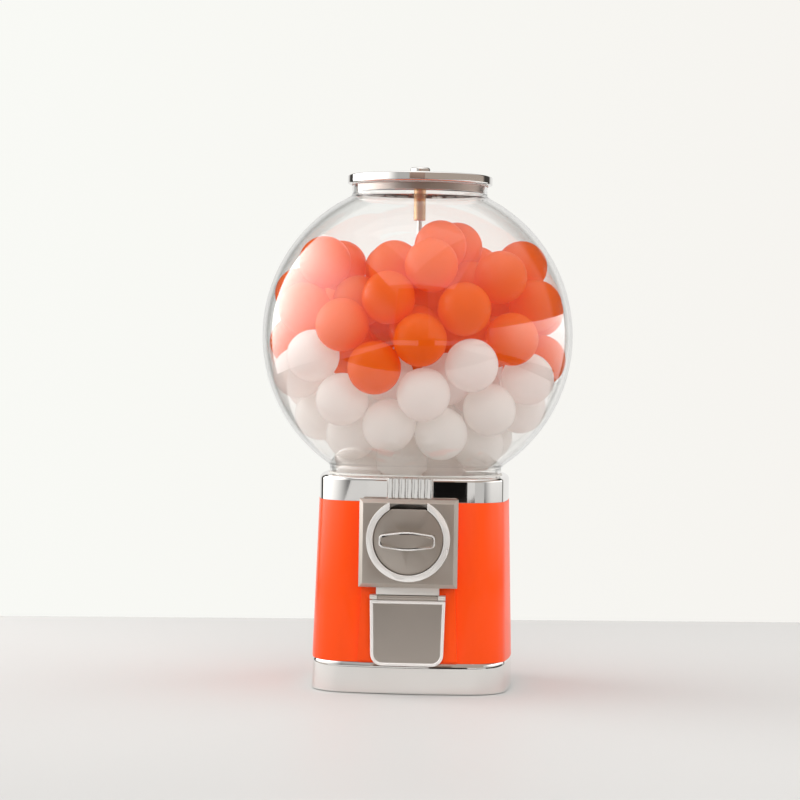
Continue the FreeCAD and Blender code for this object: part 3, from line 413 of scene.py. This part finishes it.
# Balls: hollow plastic balls with a soft satin skin, white in the lower half of the globe
# and orange above. Each stands where it settled on its neighbours.
def ball_centres(node):
    """Centres of a node's balls and the outer radius, read from its closed shells."""
    mesh = bmesh.new()
    mesh.from_mesh(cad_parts[node].data)
    bmesh.ops.remove_doubles(mesh, verts=mesh.verts, dist=1e-6)
    waiting = set(mesh.verts)
    shells = []
    while waiting:
        front = [waiting.pop()]
        shell = list(front)
        while front:
            for line in front.pop().link_edges:
                for vert in line.verts:
                    if vert in waiting:
                        waiting.remove(vert)
                        front.append(vert)
                        shell.append(vert)
        low = Vector([min(vert.co[axis] for vert in shell) for axis in range(3)])
        high = Vector([max(vert.co[axis] for vert in shell) for axis in range(3)])
        shells.append(((low + high) / 2.0, (high - low).z / 2.0))
    mesh.free()
    radius = max(size for _, size in shells)
    return [centre for centre, size in shells if size > 0.99 * radius], radius


def add_balls(node, name, body, slot, material):
    centres, radius = ball_centres(node)
    mesh = bmesh.new()
    for centre in sorted(centres, key=tuple):
        bmesh.ops.create_icosphere(mesh, subdivisions=4, radius=radius, matrix=Matrix.Translation(centre))
    add_piece(mesh, name, body, slot, material, node, sharp=60.0)


def satin_plastic(name, dark, light, glow, painted_glow):
    """Thin plastic skin that lets a share of the light through to the next ball, with a faint painted glow that
    stands in for light bounced between the balls.
    """
    share = 0.55
    # The emission is painted light: a faint glow that lifts the shade in the gaps between the balls.
    material = new_material(name, Specular_IOR_Level=0.3, Emission_Color=(*glow, 1.0), Emission_Strength=painted_glow)
    dress(material, (0.18, 0.26), 30.0, (1400.0, 0.02), dark, light)
    tree = material.node_tree
    through = add_node(tree, "ShaderNodeBsdfTranslucent", Color=(*glow, 1.0))
    mix = add_node(tree, "ShaderNodeMixShader", Fac=share)
    tree.links.new(tree.nodes["Principled BSDF"].outputs["BSDF"], mix.inputs[1])
    tree.links.new(through.outputs["BSDF"], mix.inputs[2])
    tree.links.new(mix.outputs["Shader"], tree.nodes["Material Output"].inputs["Surface"])
    return material


# The last number on each line is the strength of the painted glow that brightens the shaded gaps between the balls.
orange_gum = satin_plastic("orange_gum", (0.90, 0.165, 0.005), (0.93, 0.19, 0.007), (0.99, 0.31, 0.012), 0.07)
white_gum = satin_plastic("white_gum", (0.86, 0.845, 0.83), (0.89, 0.875, 0.86), (0.98, 0.95, 0.92), 0.09)
add_balls("white_balls", "white_balls_skin", "housing", "white_gum", white_gum)
add_balls("orange_balls", "orange_balls_skin", "housing", "orange_gum", orange_gum)
add_balls("pocket_balls", "pocket_balls_skin", "wheel", "orange_gum", orange_gum)


# Globe: one blown shell of clear plastic with a short neck at the top and an open lip
# at the bottom. The wall runs into each neck in a soft curve.
def turned(outline, steps=192):
    """Closed outline of (radius, height) points, turned about the rod."""
    mesh = bmesh.new()
    verts = [mesh.verts.new((radius, 0.0, height)) for radius, height in outline]
    edges = [mesh.edges.new(pair) for pair in zip(verts, verts[1:] + verts[:1])]
    bmesh.ops.spin(mesh, geom=verts + edges, axis=(0, 0, 1), cent=(0, 0, 0), angle=2.0 * math.pi, steps=steps,
                   use_merge=True)
    bmesh.ops.remove_doubles(mesh, verts=mesh.verts, dist=1e-7)
    bmesh.ops.recalc_face_normals(mesh, faces=mesh.faces)
    return mesh


def make_globe():
    low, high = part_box("globe")
    wall = 0.0018
    lower_neck = 0.0685
    lower_height = 0.0052
    upper_neck = 0.054
    upper_height = high.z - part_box("lid_gasket")[0].z + 0.0085
    arc_steps = 96
    neck_round = 0.0022
    radius = (high.x - low.x) / 2.0
    centre = low.z + lower_height + math.sqrt(radius ** 2 - lower_neck ** 2)

    def arc(size, start, end):
        first = math.asin(start / size)
        last = math.pi - math.asin(end / size)
        turns = [first + (last - first) * step / arc_steps for step in range(arc_steps + 1)]
        return [(size * math.sin(turn), centre - size * math.cos(turn)) for turn in turns]

    outside = arc(radius, lower_neck, upper_neck)
    inside = arc(radius - wall, lower_neck - wall, upper_neck - wall)
    outline = [(lower_neck, low.z)] + outside + [(upper_neck, high.z), (upper_neck - wall, high.z)]
    outline += inside[::-1] + [(lower_neck - wall, low.z)]
    mesh = turned(outline)
    joints = {round(height, 6) for _, height in (outside[0], outside[-1], inside[0], inside[-1])}
    lines = [line for line in mesh.edges if all(round(vert.co.z, 6) in joints for vert in line.verts)
             and abs(line.verts[0].co.z - line.verts[1].co.z) < 1e-7]
    bmesh.ops.bevel(mesh, geom=lines, offset=neck_round, offset_type="OFFSET", affect="EDGES", segments=4,
                    profile=0.5, material=-1, clamp_overlap=True)
    return mesh


clear_globe = new_material("clear_globe", Transmission_Weight=1.0, IOR=1.49, Roughness=0.0,
                           Base_Color=(0.988, 0.99, 0.986, 1.0))


def let_light_through(material):
    """Lets lamps light what is behind the clear wall, as thin plastic does."""
    tree = material.node_tree
    rays = add_node(tree, "ShaderNodeLightPath")
    either = add_node(tree, "ShaderNodeMath", operation="MAXIMUM")
    clear = add_node(tree, "ShaderNodeBsdfTransparent", Color=(0.95, 0.95, 0.95, 1.0))
    mix = add_node(tree, "ShaderNodeMixShader")
    link = tree.links.new
    link(rays.outputs["Is Shadow Ray"], either.inputs[0])
    link(rays.outputs["Is Diffuse Ray"], either.inputs[1])
    link(either.outputs["Value"], mix.inputs["Fac"])
    link(tree.nodes["Principled BSDF"].outputs["BSDF"], mix.inputs[1])
    link(clear.outputs["BSDF"], mix.inputs[2])
    link(mix.outputs["Shader"], tree.nodes["Material Output"].inputs["Surface"])


let_light_through(clear_globe)
add_piece(make_globe(), "globe_clear", "housing", "clear_globe", clear_globe, "globe", sharp=50.0)


# Lid: spun steel, chromed, with a low dome, a deep rim and a plug that drops into the globe's neck.
# The plug's side is left in brushed steel.
plug_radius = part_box("lid_gasket")[1].x - 0.0042


def make_lid():
    low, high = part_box("lid")
    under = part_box("lid_gasket")[1].z
    radius = high.x
    rim = 0.007
    wall = 0.002
    hole = 0.0065
    plug = plug_radius
    edge = 0.0012
    top = under + rim
    dome = high.z - top
    dome_steps = 12

    def crown(share, drop):
        reach = hole + (radius - edge - hole) * share
        return reach, top - drop + dome * (1.0 - share ** 2)

    outline = [crown(step / dome_steps, 0.0) for step in range(dome_steps + 1)]
    outline += [(radius - edge * (1.0 - sin), top - edge * (1.0 - cos)) for cos, sin in quarter_turn(4)[1:]]
    outline += [(radius - edge * (1.0 - cos), under + edge * (1.0 - sin)) for cos, sin in quarter_turn(4)]
    outline += [(plug, under), (plug, low.z), (plug - wall, low.z), (plug - wall, top - wall)]
    inner_share = (plug - wall - hole) / (radius - edge - hole)
    outline += [crown(inner_share * (1.0 - step / dome_steps), wall) for step in range(1, dome_steps + 1)]
    return turned(outline)


def make_sleeve():
    low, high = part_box("lid")
    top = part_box("lid_gasket")[0].z
    skin = 0.0003
    return turned([(plug_radius - skin, low.z), (plug_radius + skin, low.z), (plug_radius + skin, top),
                   (plug_radius - skin, top)])


add_piece(make_lid(), "lid_chrome", "lid", "chrome", chrome, "lid", sharp=40.0)
brushed_steel = dress(new_material("brushed_steel", Metallic=1.0), (0.32, 0.42), 40.0, (1100.0, 0.08),
                      (0.44, 0.36, 0.325), (0.50, 0.42, 0.38))
add_piece(make_sleeve(), "lid_sleeve", "lid", "bright_steel", brushed_steel)


# Lock: a turned and chromed body in the middle of the lid, a steel plug with a key slot,
# and the brass tube under it that screws down onto the rod.
def make_lock():
    low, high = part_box("lock_body")
    bore = 0.00555
    barrel = 0.0064
    edge = 0.0019
    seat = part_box("lid")[1].z
    outline = [(bore, low.z), (barrel, low.z), (barrel, seat), (high.x, seat)]
    outline += [(high.x - edge * (1.0 - cos), high.z - edge * (1.0 - sin)) for cos, sin in quarter_turn(5)]
    outline.append((bore, high.z))
    return turned(outline, 96)


def make_tube():
    low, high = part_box("lock_tube")
    bore = 0.0024
    edge = 0.0005
    bead = 0.0003
    bead_low = high.z - 0.0105
    bead_high = bead_low + 0.0022
    outline = [(bore, low.z), (high.x - edge, low.z), (high.x, low.z + edge), (high.x, bead_low - bead),
               (high.x + bead, bead_low), (high.x + bead, bead_high), (high.x, bead_high + bead),
               (high.x, high.z), (bore, high.z)]
    return turned(outline, 96)


add_piece(make_lock(), "lock_body_chrome", "lid", "chrome", chrome, "lock_body", sharp=40.0)
add_piece(joined_copy("lock_plug"), "lock_plug_steel", "lock", "bright_steel", bright_steel, "lock_plug",
          edge=0.0002)
lock_brass = dress(new_material("lock_brass", Metallic=1.0), (0.34, 0.46), 40.0, (800.0, 0.08),
                   (0.60, 0.37, 0.20), (0.72, 0.48, 0.28))
add_piece(make_tube(), "lock_tube_brass", "lock", "lock_brass", lock_brass, "lock_tube", sharp=40.0)
for node in ("wheel_bush", "spindle_bush"):
    paint_node(node, lock_brass)

# Coin plate: a hollow die-cast cover with a broad bevel, in satin pewter plate. A bright ring
# stands round the dial, and the coin lies on the flat of the carrier behind it.
pewter = dress(new_material("pewter", Metallic=1.0), (0.40, 0.48), 26.0, (1600.0, 0.1),
               (0.53, 0.485, 0.44), (0.59, 0.545, 0.495), (0.72, 0.68, 0.63))
polished_zinc = dress(new_material("polished_zinc", Metallic=0.4), (0.17, 0.25), 30.0, (1200.0, 0.03),
                      (0.90, 0.885, 0.865), (0.95, 0.94, 0.925))
add_piece(joined_copy("coin_plate"), "coin_plate_pewter", "housing", "pewter", pewter, "coin_plate", edge=0.0004)
add_piece(joined_copy("dial_ring"), "dial_ring_polished", "housing", "polished_zinc", polished_zinc, "dial_ring",
          edge=0.0006)
add_piece(joined_copy("coin_carrier"), "coin_carrier_pewter", "coin_dial", "pewter", pewter, "coin_carrier",
          edge=0.0005)


# Handle: a die-cast grip across the dial, in the plate's pewter. Its long sides rise to the middle,
# and a polished bead runs round a bare sunken badge.
def handle_face(mesh, front, margin):
    """Outline of the handle's front, of ten corners, as one face towards the front."""
    low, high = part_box("dial_knob")
    half_length = 0.0217 + margin
    end = 0.0052 + margin
    middle = 0.0079 + margin
    corner = 0.0019
    dial_height = (low.z + high.z) / 2.0
    half = [(half_length, corner - end), (half_length, end - corner), (half_length - corner, end),
            (0.0, middle), (corner - half_length, end)]
    points = half + [(-x, -z) for x, z in half]
    return mesh.faces.new([mesh.verts.new((x, front, dial_height + z)) for x, z in reversed(points)])


def soften_outline(mesh, face, radius):
    """Rounds the two middle corners of the handle's long sides."""
    peaks = [vert for vert in face.verts if abs(vert.co.x) < 1e-6]
    bmesh.ops.bevel(mesh, geom=peaks, offset=radius, offset_type="OFFSET", affect="VERTICES", segments=5,
                    profile=0.5, material=-1, clamp_overlap=True)
    return mesh.faces[:][0]


def make_handle():
    low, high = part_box("dial_knob")
    border = 0.0022
    recess = 0.001
    draft = 0.0012
    mesh = bmesh.new()
    face = soften_outline(mesh, handle_face(mesh, low.y, 0.0), 0.006)
    rim = face.edges[:]
    bmesh.ops.inset_region(mesh, faces=[face], thickness=border, use_boundary=True,
                           use_even_offset=True)
    grown = bmesh.ops.extrude_face_region(mesh, geom=[face])["geom"]
    bmesh.ops.delete(mesh, geom=[face], context="FACES_ONLY")
    bmesh.ops.translate(mesh, verts=[item for item in grown if isinstance(item, bmesh.types.BMVert)],
                        vec=(0.0, recess, 0.0))
    skirt = [item for item in bmesh.ops.extrude_edge_only(mesh, edges=rim)["geom"]
             if isinstance(item, bmesh.types.BMVert)]
    length = high.x - draft
    for vert in skirt:
        vert.co.y = high.y
        vert.co.x *= 1.0 + draft / length
        vert.co.z += math.copysign(draft, vert.co.z - (low.z + high.z) / 2.0)
    bmesh.ops.holes_fill(mesh, edges=[line for line in mesh.edges if line.is_boundary], sides=0)
    bmesh.ops.recalc_face_normals(mesh, faces=mesh.faces)
    return mesh


def make_bead():
    low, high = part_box("dial_knob")
    width = 0.0012
    inset = 0.0003
    proud = 0.0003
    depth = 0.0008
    mesh = bmesh.new()
    face = soften_outline(mesh, handle_face(mesh, low.y - proud, -inset), 0.006)
    bmesh.ops.inset_region(mesh, faces=[face], thickness=width, use_boundary=True, use_even_offset=True)
    bmesh.ops.delete(mesh, geom=[face], context="FACES")
    grown = bmesh.ops.extrude_face_region(mesh, geom=mesh.faces[:])["geom"]
    bmesh.ops.translate(mesh, verts=[item for item in grown if isinstance(item, bmesh.types.BMVert)],
                        vec=(0.0, depth, 0.0))
    bmesh.ops.recalc_face_normals(mesh, faces=mesh.faces)
    return mesh


add_piece(make_handle(), "dial_knob_pewter", "coin_dial", "pewter", pewter, "dial_knob", edge=0.0004)
add_piece(make_bead(), "dial_knob_bead", "coin_dial", "polished_zinc", polished_zinc, edge=0.0004)

# Mouth frame: a flat casting round the mouth with a neck strip above and two hinge lugs,
# plated brighter than the coin plate.
satin_nickel = dress(new_material("satin_nickel", Metallic=0.65), (0.29, 0.36), 26.0, (1400.0, 0.06),
                     (0.76, 0.735, 0.705), (0.84, 0.815, 0.785))
add_piece(joined_copy("chute_frame"), "chute_frame_nickel", "housing", "polished_zinc", satin_nickel,
          "chute_frame", edge=0.0004)


# Flap: a pressed door that hangs on the hinge pin. A polished round bead runs along its edge,
# and a plain smoked-nickel panel is sunk inside it.
flap_knuckle = 0.002
flap_seat = 0.0004
flap_thickness = 0.003
flap_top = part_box("flap")[1].z - 2.0 * flap_knuckle - flap_seat
flap_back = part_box("flap")[1].y
flap_front = flap_back - flap_thickness


def flap_face(mesh, front):
    """Outline of the door, its lower corners rounded, as one face towards the front."""
    low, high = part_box("flap")
    taper = 0.0012
    corner = 0.009
    half_top = high.x
    half_bottom = half_top - taper
    top = flap_top
    points = [(-half_bottom, low.z), (half_bottom, low.z), (half_top, top), (-half_top, top)]
    mesh.faces.new([mesh.verts.new((x, front, z)) for x, z in points])
    lower = [vert for vert in mesh.verts if vert.co.z < top - corner]
    bmesh.ops.bevel(mesh, geom=lower, offset=corner, offset_type="OFFSET", affect="VERTICES", segments=8,
                    profile=0.5, material=-1, clamp_overlap=True)
    return mesh.faces[:][0]


def make_flap_panel():
    recess = 0.001
    knuckle_half = 0.0232
    knuckle_lead = 0.0001
    overlap = 0.001
    front = flap_front + recess
    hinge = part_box("flap")[1].z - flap_knuckle
    mesh = bmesh.new()
    face = flap_face(mesh, front)
    grown = bmesh.ops.extrude_face_region(mesh, geom=[face])["geom"]
    bmesh.ops.translate(mesh, verts=[item for item in grown if isinstance(item, bmesh.types.BMVert)],
                        vec=(0.0, flap_back - front, 0.0))
    across = Matrix.Translation((0.0, flap_back - flap_knuckle - knuckle_lead, hinge))
    bmesh.ops.create_cone(mesh, cap_ends=True, segments=40, radius1=flap_knuckle, radius2=flap_knuckle,
                          depth=2.0 * knuckle_half, matrix=across @ Matrix.Rotation(math.pi / 2.0, 4, "Y"))
    add_box(mesh, (-knuckle_half, front, flap_top - overlap), (knuckle_half, flap_back, hinge))
    bmesh.ops.recalc_face_normals(mesh, faces=mesh.faces)
    return mesh


def make_flap_bead():
    width = 0.0026
    depth = 0.0022
    bead_round = 0.0011
    mesh = bmesh.new()
    face = flap_face(mesh, flap_front)
    bmesh.ops.inset_region(mesh, faces=[face], thickness=width, use_boundary=True, use_even_offset=True)
    bmesh.ops.delete(mesh, geom=[face], context="FACES")
    grown = bmesh.ops.extrude_face_region(mesh, geom=mesh.faces[:])["geom"]
    bmesh.ops.translate(mesh, verts=[item for item in grown if isinstance(item, bmesh.types.BMVert)],
                        vec=(0.0, depth, 0.0))
    bmesh.ops.recalc_face_normals(mesh, faces=mesh.faces)
    lines = [line for line in mesh.edges if all(abs(vert.co.y - flap_front) < 1e-7 for vert in line.verts)
             and line.calc_face_angle() > 1.0]
    bmesh.ops.bevel(mesh, geom=lines, offset=bead_round, offset_type="OFFSET", affect="EDGES", segments=5,
                    profile=0.5, material=-1, clamp_overlap=True)
    return mesh


flap_steel = dress(new_material("flap_steel", Metallic=1.0), (0.29, 0.36), 22.0, (900.0, 0.02),
                   (0.47, 0.43, 0.39), (0.51, 0.47, 0.43))
add_piece(make_flap_panel(), "flap_panel", "flap", "flap_steel", flap_steel, "flap", edge=0.0003)
add_piece(make_flap_bead(), "flap_bead", "flap", "polished_zinc", polished_zinc, sharp=40.0)


# Table and backdrop: a pale matt table top with its back edge behind the machine, and a pale room.
# A dark card beside the camera gives the chrome something dark to show.
def stage_plane(name, material, *corners):
    """Flat piece of the set through its corners."""
    mesh = bmesh.new()
    mesh.faces.new([mesh.verts.new(corner) for corner in corners])
    data = bpy.data.meshes.new(name)
    mesh.to_mesh(data)
    mesh.free()
    data.materials.append(material)
    plane = bpy.data.objects.new(name, data)
    scene.collection.objects.link(plane)
    return plane


table_front = 0.62
table_paint = dress(new_material("table_paint", Specular_IOR_Level=0.15), (0.5, 0.6), 3.0, (500.0, 0.01),
                    (0.59, 0.59, 0.585), (0.61, 0.61, 0.605))
stage_plane("table", table_paint, (-2.5, -table_front, 0.0), (2.5, -table_front, 0.0), (2.5, 0.849, 0.0),
            (-2.5, 0.139, 0.0))
black_card = dress(new_material("black_card", Specular_IOR_Level=0.1), (0.8, 0.9), 5.0, (500.0, 0.01),
                   (0.004, 0.004, 0.004), (0.006, 0.006, 0.006))
dark_felt = dress(new_material("dark_felt", Specular_IOR_Level=0.1), (0.8, 0.9), 5.0, (500.0, 0.01),
                  (0.06, 0.05, 0.045), (0.08, 0.07, 0.06))
brown_felt = dress(new_material("brown_felt", Specular_IOR_Level=0.1), (0.8, 0.9), 5.0, (500.0, 0.01),
                   (0.20, 0.14, 0.115), (0.24, 0.17, 0.14))
set_cards = [
    stage_plane("dark_floor", dark_felt, (-2.5, -9.0, 0.0), (2.5, -9.0, 0.0), (2.5, -table_front, 0.0),
                (-2.5, -table_front, 0.0)),
    stage_plane("dark_card", black_card, (0.137, -2.2, 0.0), (0.594, -2.2, 0.0), (0.594, -2.2, 0.15),
                (0.137, -2.2, 0.15)),
    stage_plane("side_card", dark_felt, (1.05, -0.60, 0.0), (0.85, 0.60, 0.0), (0.85, 0.60, 0.08),
                (1.05, -0.60, 0.08)),
    stage_plane("camera_screen", brown_felt, (-0.70, -3.0, 0.15), (0.55, -3.0, 0.15), (0.55, -3.0, 2.3),
                (-0.70, -3.0, 2.3))]
for card in set_cards:
    card.visible_camera = False


# Lights: a tall soft screen on each side, bright beside the machine and dim towards the camera and the table,
# a pointed sheet overhead and a low white card in front, which the chrome shows.
def light_panel(name, radiance, ramp, *corners, upright=True):
    """Glowing panel that the camera doesn't see; its light rises along its first side, over the ramp's shares."""
    heights = ((0.0, 0.3), (0.5, 1.0), (0.8, 1.0), (1.3, 0.4))
    full_height = 1.6
    material = bpy.data.materials.new(name)
    material.use_nodes = True
    tree = material.node_tree
    tree.nodes.remove(tree.nodes["Principled BSDF"])
    side = Vector(corners[1]) - Vector(corners[0])
    place = add_node(tree, "ShaderNodeTexCoord")
    offset = add_node(tree, "ShaderNodeVectorMath", operation="SUBTRACT")
    offset.inputs[1].default_value = corners[0]
    along = add_node(tree, "ShaderNodeVectorMath", operation="DOT_PRODUCT")
    along.inputs[1].default_value = side / side.length_squared
    rise = add_node(tree, "ShaderNodeMapRange", From_Min=ramp[0], From_Max=ramp[1], To_Min=radiance[0],
                    To_Max=radiance[1], interpolation_type="SMOOTHSTEP")
    glow = add_node(tree, "ShaderNodeEmission", Color=(1.0, 0.985, 0.965, 1.0))
    link = tree.links.new
    link(place.outputs["Object"], offset.inputs[0])
    link(offset.outputs["Vector"], along.inputs[0])
    link(along.outputs["Value"], rise.inputs["Value"])
    strength = rise.outputs["Result"]
    if upright:
        parts = add_node(tree, "ShaderNodeSeparateXYZ")
        share = add_node(tree, "ShaderNodeMath", operation="DIVIDE")
        share.inputs[1].default_value = full_height
        fade = add_node(tree, "ShaderNodeValToRGB")
        fade.color_ramp.interpolation = "EASE"
        stops = fade.color_ramp.elements
        while len(stops) < len(heights):
            stops.new(1.0)
        for stop, (height, level) in zip(stops, heights):
            stop.position = height / full_height
            stop.color = (level, level, level, 1.0)
        level = add_node(tree, "ShaderNodeMath", operation="MULTIPLY")
        link(place.outputs["Object"], parts.inputs["Vector"])
        link(parts.outputs["Z"], share.inputs[0])
        link(share.outputs["Value"], fade.inputs["Fac"])
        link(strength, level.inputs[0])
        link(fade.outputs["Color"], level.inputs[1])
        strength = level.outputs["Value"]
    link(strength, glow.inputs["Strength"])
    link(glow.outputs["Emission"], tree.nodes["Material Output"].inputs["Surface"])
    panel = stage_plane(name, material, *corners)
    panel.visible_camera = False
    return panel


light_panel("left_screen", (0.5, 3.9), (0.35, 0.85), (-0.58, -2.33, 0.14), (-0.97, 0.786, 0.02),
            (-0.97, 0.786, 1.25), (-0.58, -2.33, 1.6))
light_panel("right_screen", (0.9, 2.3), (0.1, 0.5), (1.474, -1.03, 0.02), (0.836, 0.929, 0.02),
            (0.836, 0.929, 0.44), (1.474, -1.03, 0.44))
light_panel("top_sheet", (1.6, 1.6), (0.0, 1.0), (0.0, -1.21, 1.45), (0.57, -0.10, 1.45), (-0.57, -0.10, 1.45),
            upright=False)
light_panel("front_sheet", (1.2, 1.2), (0.0, 1.0), (-1.3, -2.1, 1.85), (1.3, -2.1, 1.85), (1.3, 0.3, 2.3),
            (-1.3, 0.3, 2.3), upright=False)
light_panel("low_card", (0.78, 0.78), (0.0, 1.0), (-2.5, -2.25, 0.0), (3.2, -2.25, 0.0), (3.2, -2.25, 0.14),
            (-2.5, -2.25, 0.14), upright=False)
light_panel("low_left_card", (0.75, 0.75), (0.0, 1.0), (-0.62, -2.2, 0.0), (-0.86, -0.3, 0.0),
            (-0.86, -0.3, 0.12), (-0.62, -2.2, 0.12), upright=False)
light_panel("low_right_card", (0.6, 0.6), (0.0, 1.0), (1.05, -1.60, 0.0), (1.10, -0.62, 0.0), (1.10, -0.62, 0.12),
            (1.05, -1.60, 0.12), upright=False)
fills = [
    light_panel("front_fill", (2.7, 2.7), (0.0, 1.0), (-1.0, -2.7, 0.6), (2.0, -2.7, 0.6), (2.0, -2.5, 1.9),
                (-1.0, -2.5, 1.9), upright=False),
    light_panel("right_fill", (2.4, 2.4), (0.0, 1.0), (1.474, -1.03, 0.46), (0.836, 0.929, 0.46),
                (0.836, 0.929, 1.1), (1.474, -1.03, 1.2), upright=False)]
for fill in fills:
    fill.visible_glossy = False
    fill.visible_transmission = False


# Room round the table: a warm mid grey in front of the machine, dark to the sides behind the screens
# and pale at the back. The camera sees the pale side whichever way it looks.
def make_room():
    world = bpy.data.worlds.new("pale_room")
    scene.world = world
    world.use_nodes = True
    tree = world.node_tree
    link = tree.links.new
    shown = tree.nodes["Background"]
    lighting = add_node(tree, "ShaderNodeBackground", Strength=1.0)
    rays = add_node(tree, "ShaderNodeLightPath")
    seen = add_node(tree, "ShaderNodeMath", operation="MAXIMUM")
    unbent = add_node(tree, "ShaderNodeMath", operation="LESS_THAN")
    unbent.inputs[1].default_value = 0.5
    straight = add_node(tree, "ShaderNodeMath", operation="MULTIPLY")
    mix = add_node(tree, "ShaderNodeMixShader")
    place = add_node(tree, "ShaderNodeTexCoord")
    parts = add_node(tree, "ShaderNodeSeparateXYZ")
    depth = add_node(tree, "ShaderNodeMapRange", From_Min=-1.0, From_Max=1.0)
    across = add_node(tree, "ShaderNodeMapRange", From_Min=-0.2, From_Max=0.2)
    upward = add_node(tree, "ShaderNodeMapRange", From_Min=0.5, From_Max=0.75)
    bands = add_node(tree, "ShaderNodeValToRGB")
    grey = (0.44, 0.37, 0.32, 1.0)
    dark = (0.06, 0.055, 0.05, 1.0)
    pale = (0.86, 0.85, 0.83, 1.0)
    ceiling = (0.93, 0.92, 0.905)
    stops = bands.color_ramp.elements
    stops[0].position, stops[0].color = 0.0, grey
    stops[1].position, stops[1].color = 0.95, pale
    for position, colour in ((0.76, grey), (0.80, dark), (0.91, dark)):
        stops.new(position).color = colour
    link(place.outputs["Generated"], parts.inputs["Vector"])
    link(parts.outputs["Y"], depth.inputs["Value"])
    link(parts.outputs["X"], across.inputs["Value"])
    link(depth.outputs["Result"], bands.inputs["Fac"])
    link(parts.outputs["Z"], upward.inputs["Value"])
    link(mixed_colour(tree, bands.outputs["Color"], ceiling, upward.outputs["Result"]), lighting.inputs["Color"])
    # Painted shade: the wall the camera sees is a little darker and warmer towards the right, as the light falls
    # off across it.
    link(mixed_colour(tree, (0.945, 0.95, 0.912), (0.915, 0.892, 0.855), across.outputs["Result"]),
         shown.inputs["Color"])
    link(rays.outputs["Is Camera Ray"], seen.inputs[0])
    link(rays.outputs["Is Transmission Ray"], seen.inputs[1])
    link(rays.outputs["Glossy Depth"], unbent.inputs[0])
    link(seen.outputs["Value"], straight.inputs[0])
    link(unbent.outputs["Value"], straight.inputs[1])
    link(straight.outputs["Value"], mix.inputs["Fac"])
    link(lighting.outputs["Background"], mix.inputs[1])
    link(shown.outputs["Background"], mix.inputs[2])
    link(mix.outputs["Shader"], tree.nodes["World Output"].inputs["Surface"])


make_room()

# Camera: a long lens two metres away, at the height of the globe and a little right of the middle.
image_size = 800.0
focal_pixels = 2510.8
axis_distance = 2.015
eye_height = 0.2568
eye_azimuth = math.radians(2.97)
axis_right = 16.56
horizon_above = 37.95
roll = math.radians(0.95)
lens = bpy.data.cameras.new("photo_lens")
lens.sensor_width = 36.0
lens.lens = lens.sensor_width * focal_pixels / image_size
camera = bpy.data.objects.new("photo_camera", lens)
eye = Vector((axis_distance * math.sin(eye_azimuth), -axis_distance * math.cos(eye_azimuth), eye_height))
yaw = eye_azimuth + axis_right / focal_pixels
pitch = math.pi / 2.0 - math.atan2(horizon_above, focal_pixels)
turn = Matrix.Rotation(yaw, 4, "Z") @ Matrix.Rotation(pitch, 4, "X") @ Matrix.Rotation(roll, 4, "Z")
camera.matrix_world = Matrix.Translation(eye) @ turn
scene.collection.objects.link(camera)
scene.camera = camera
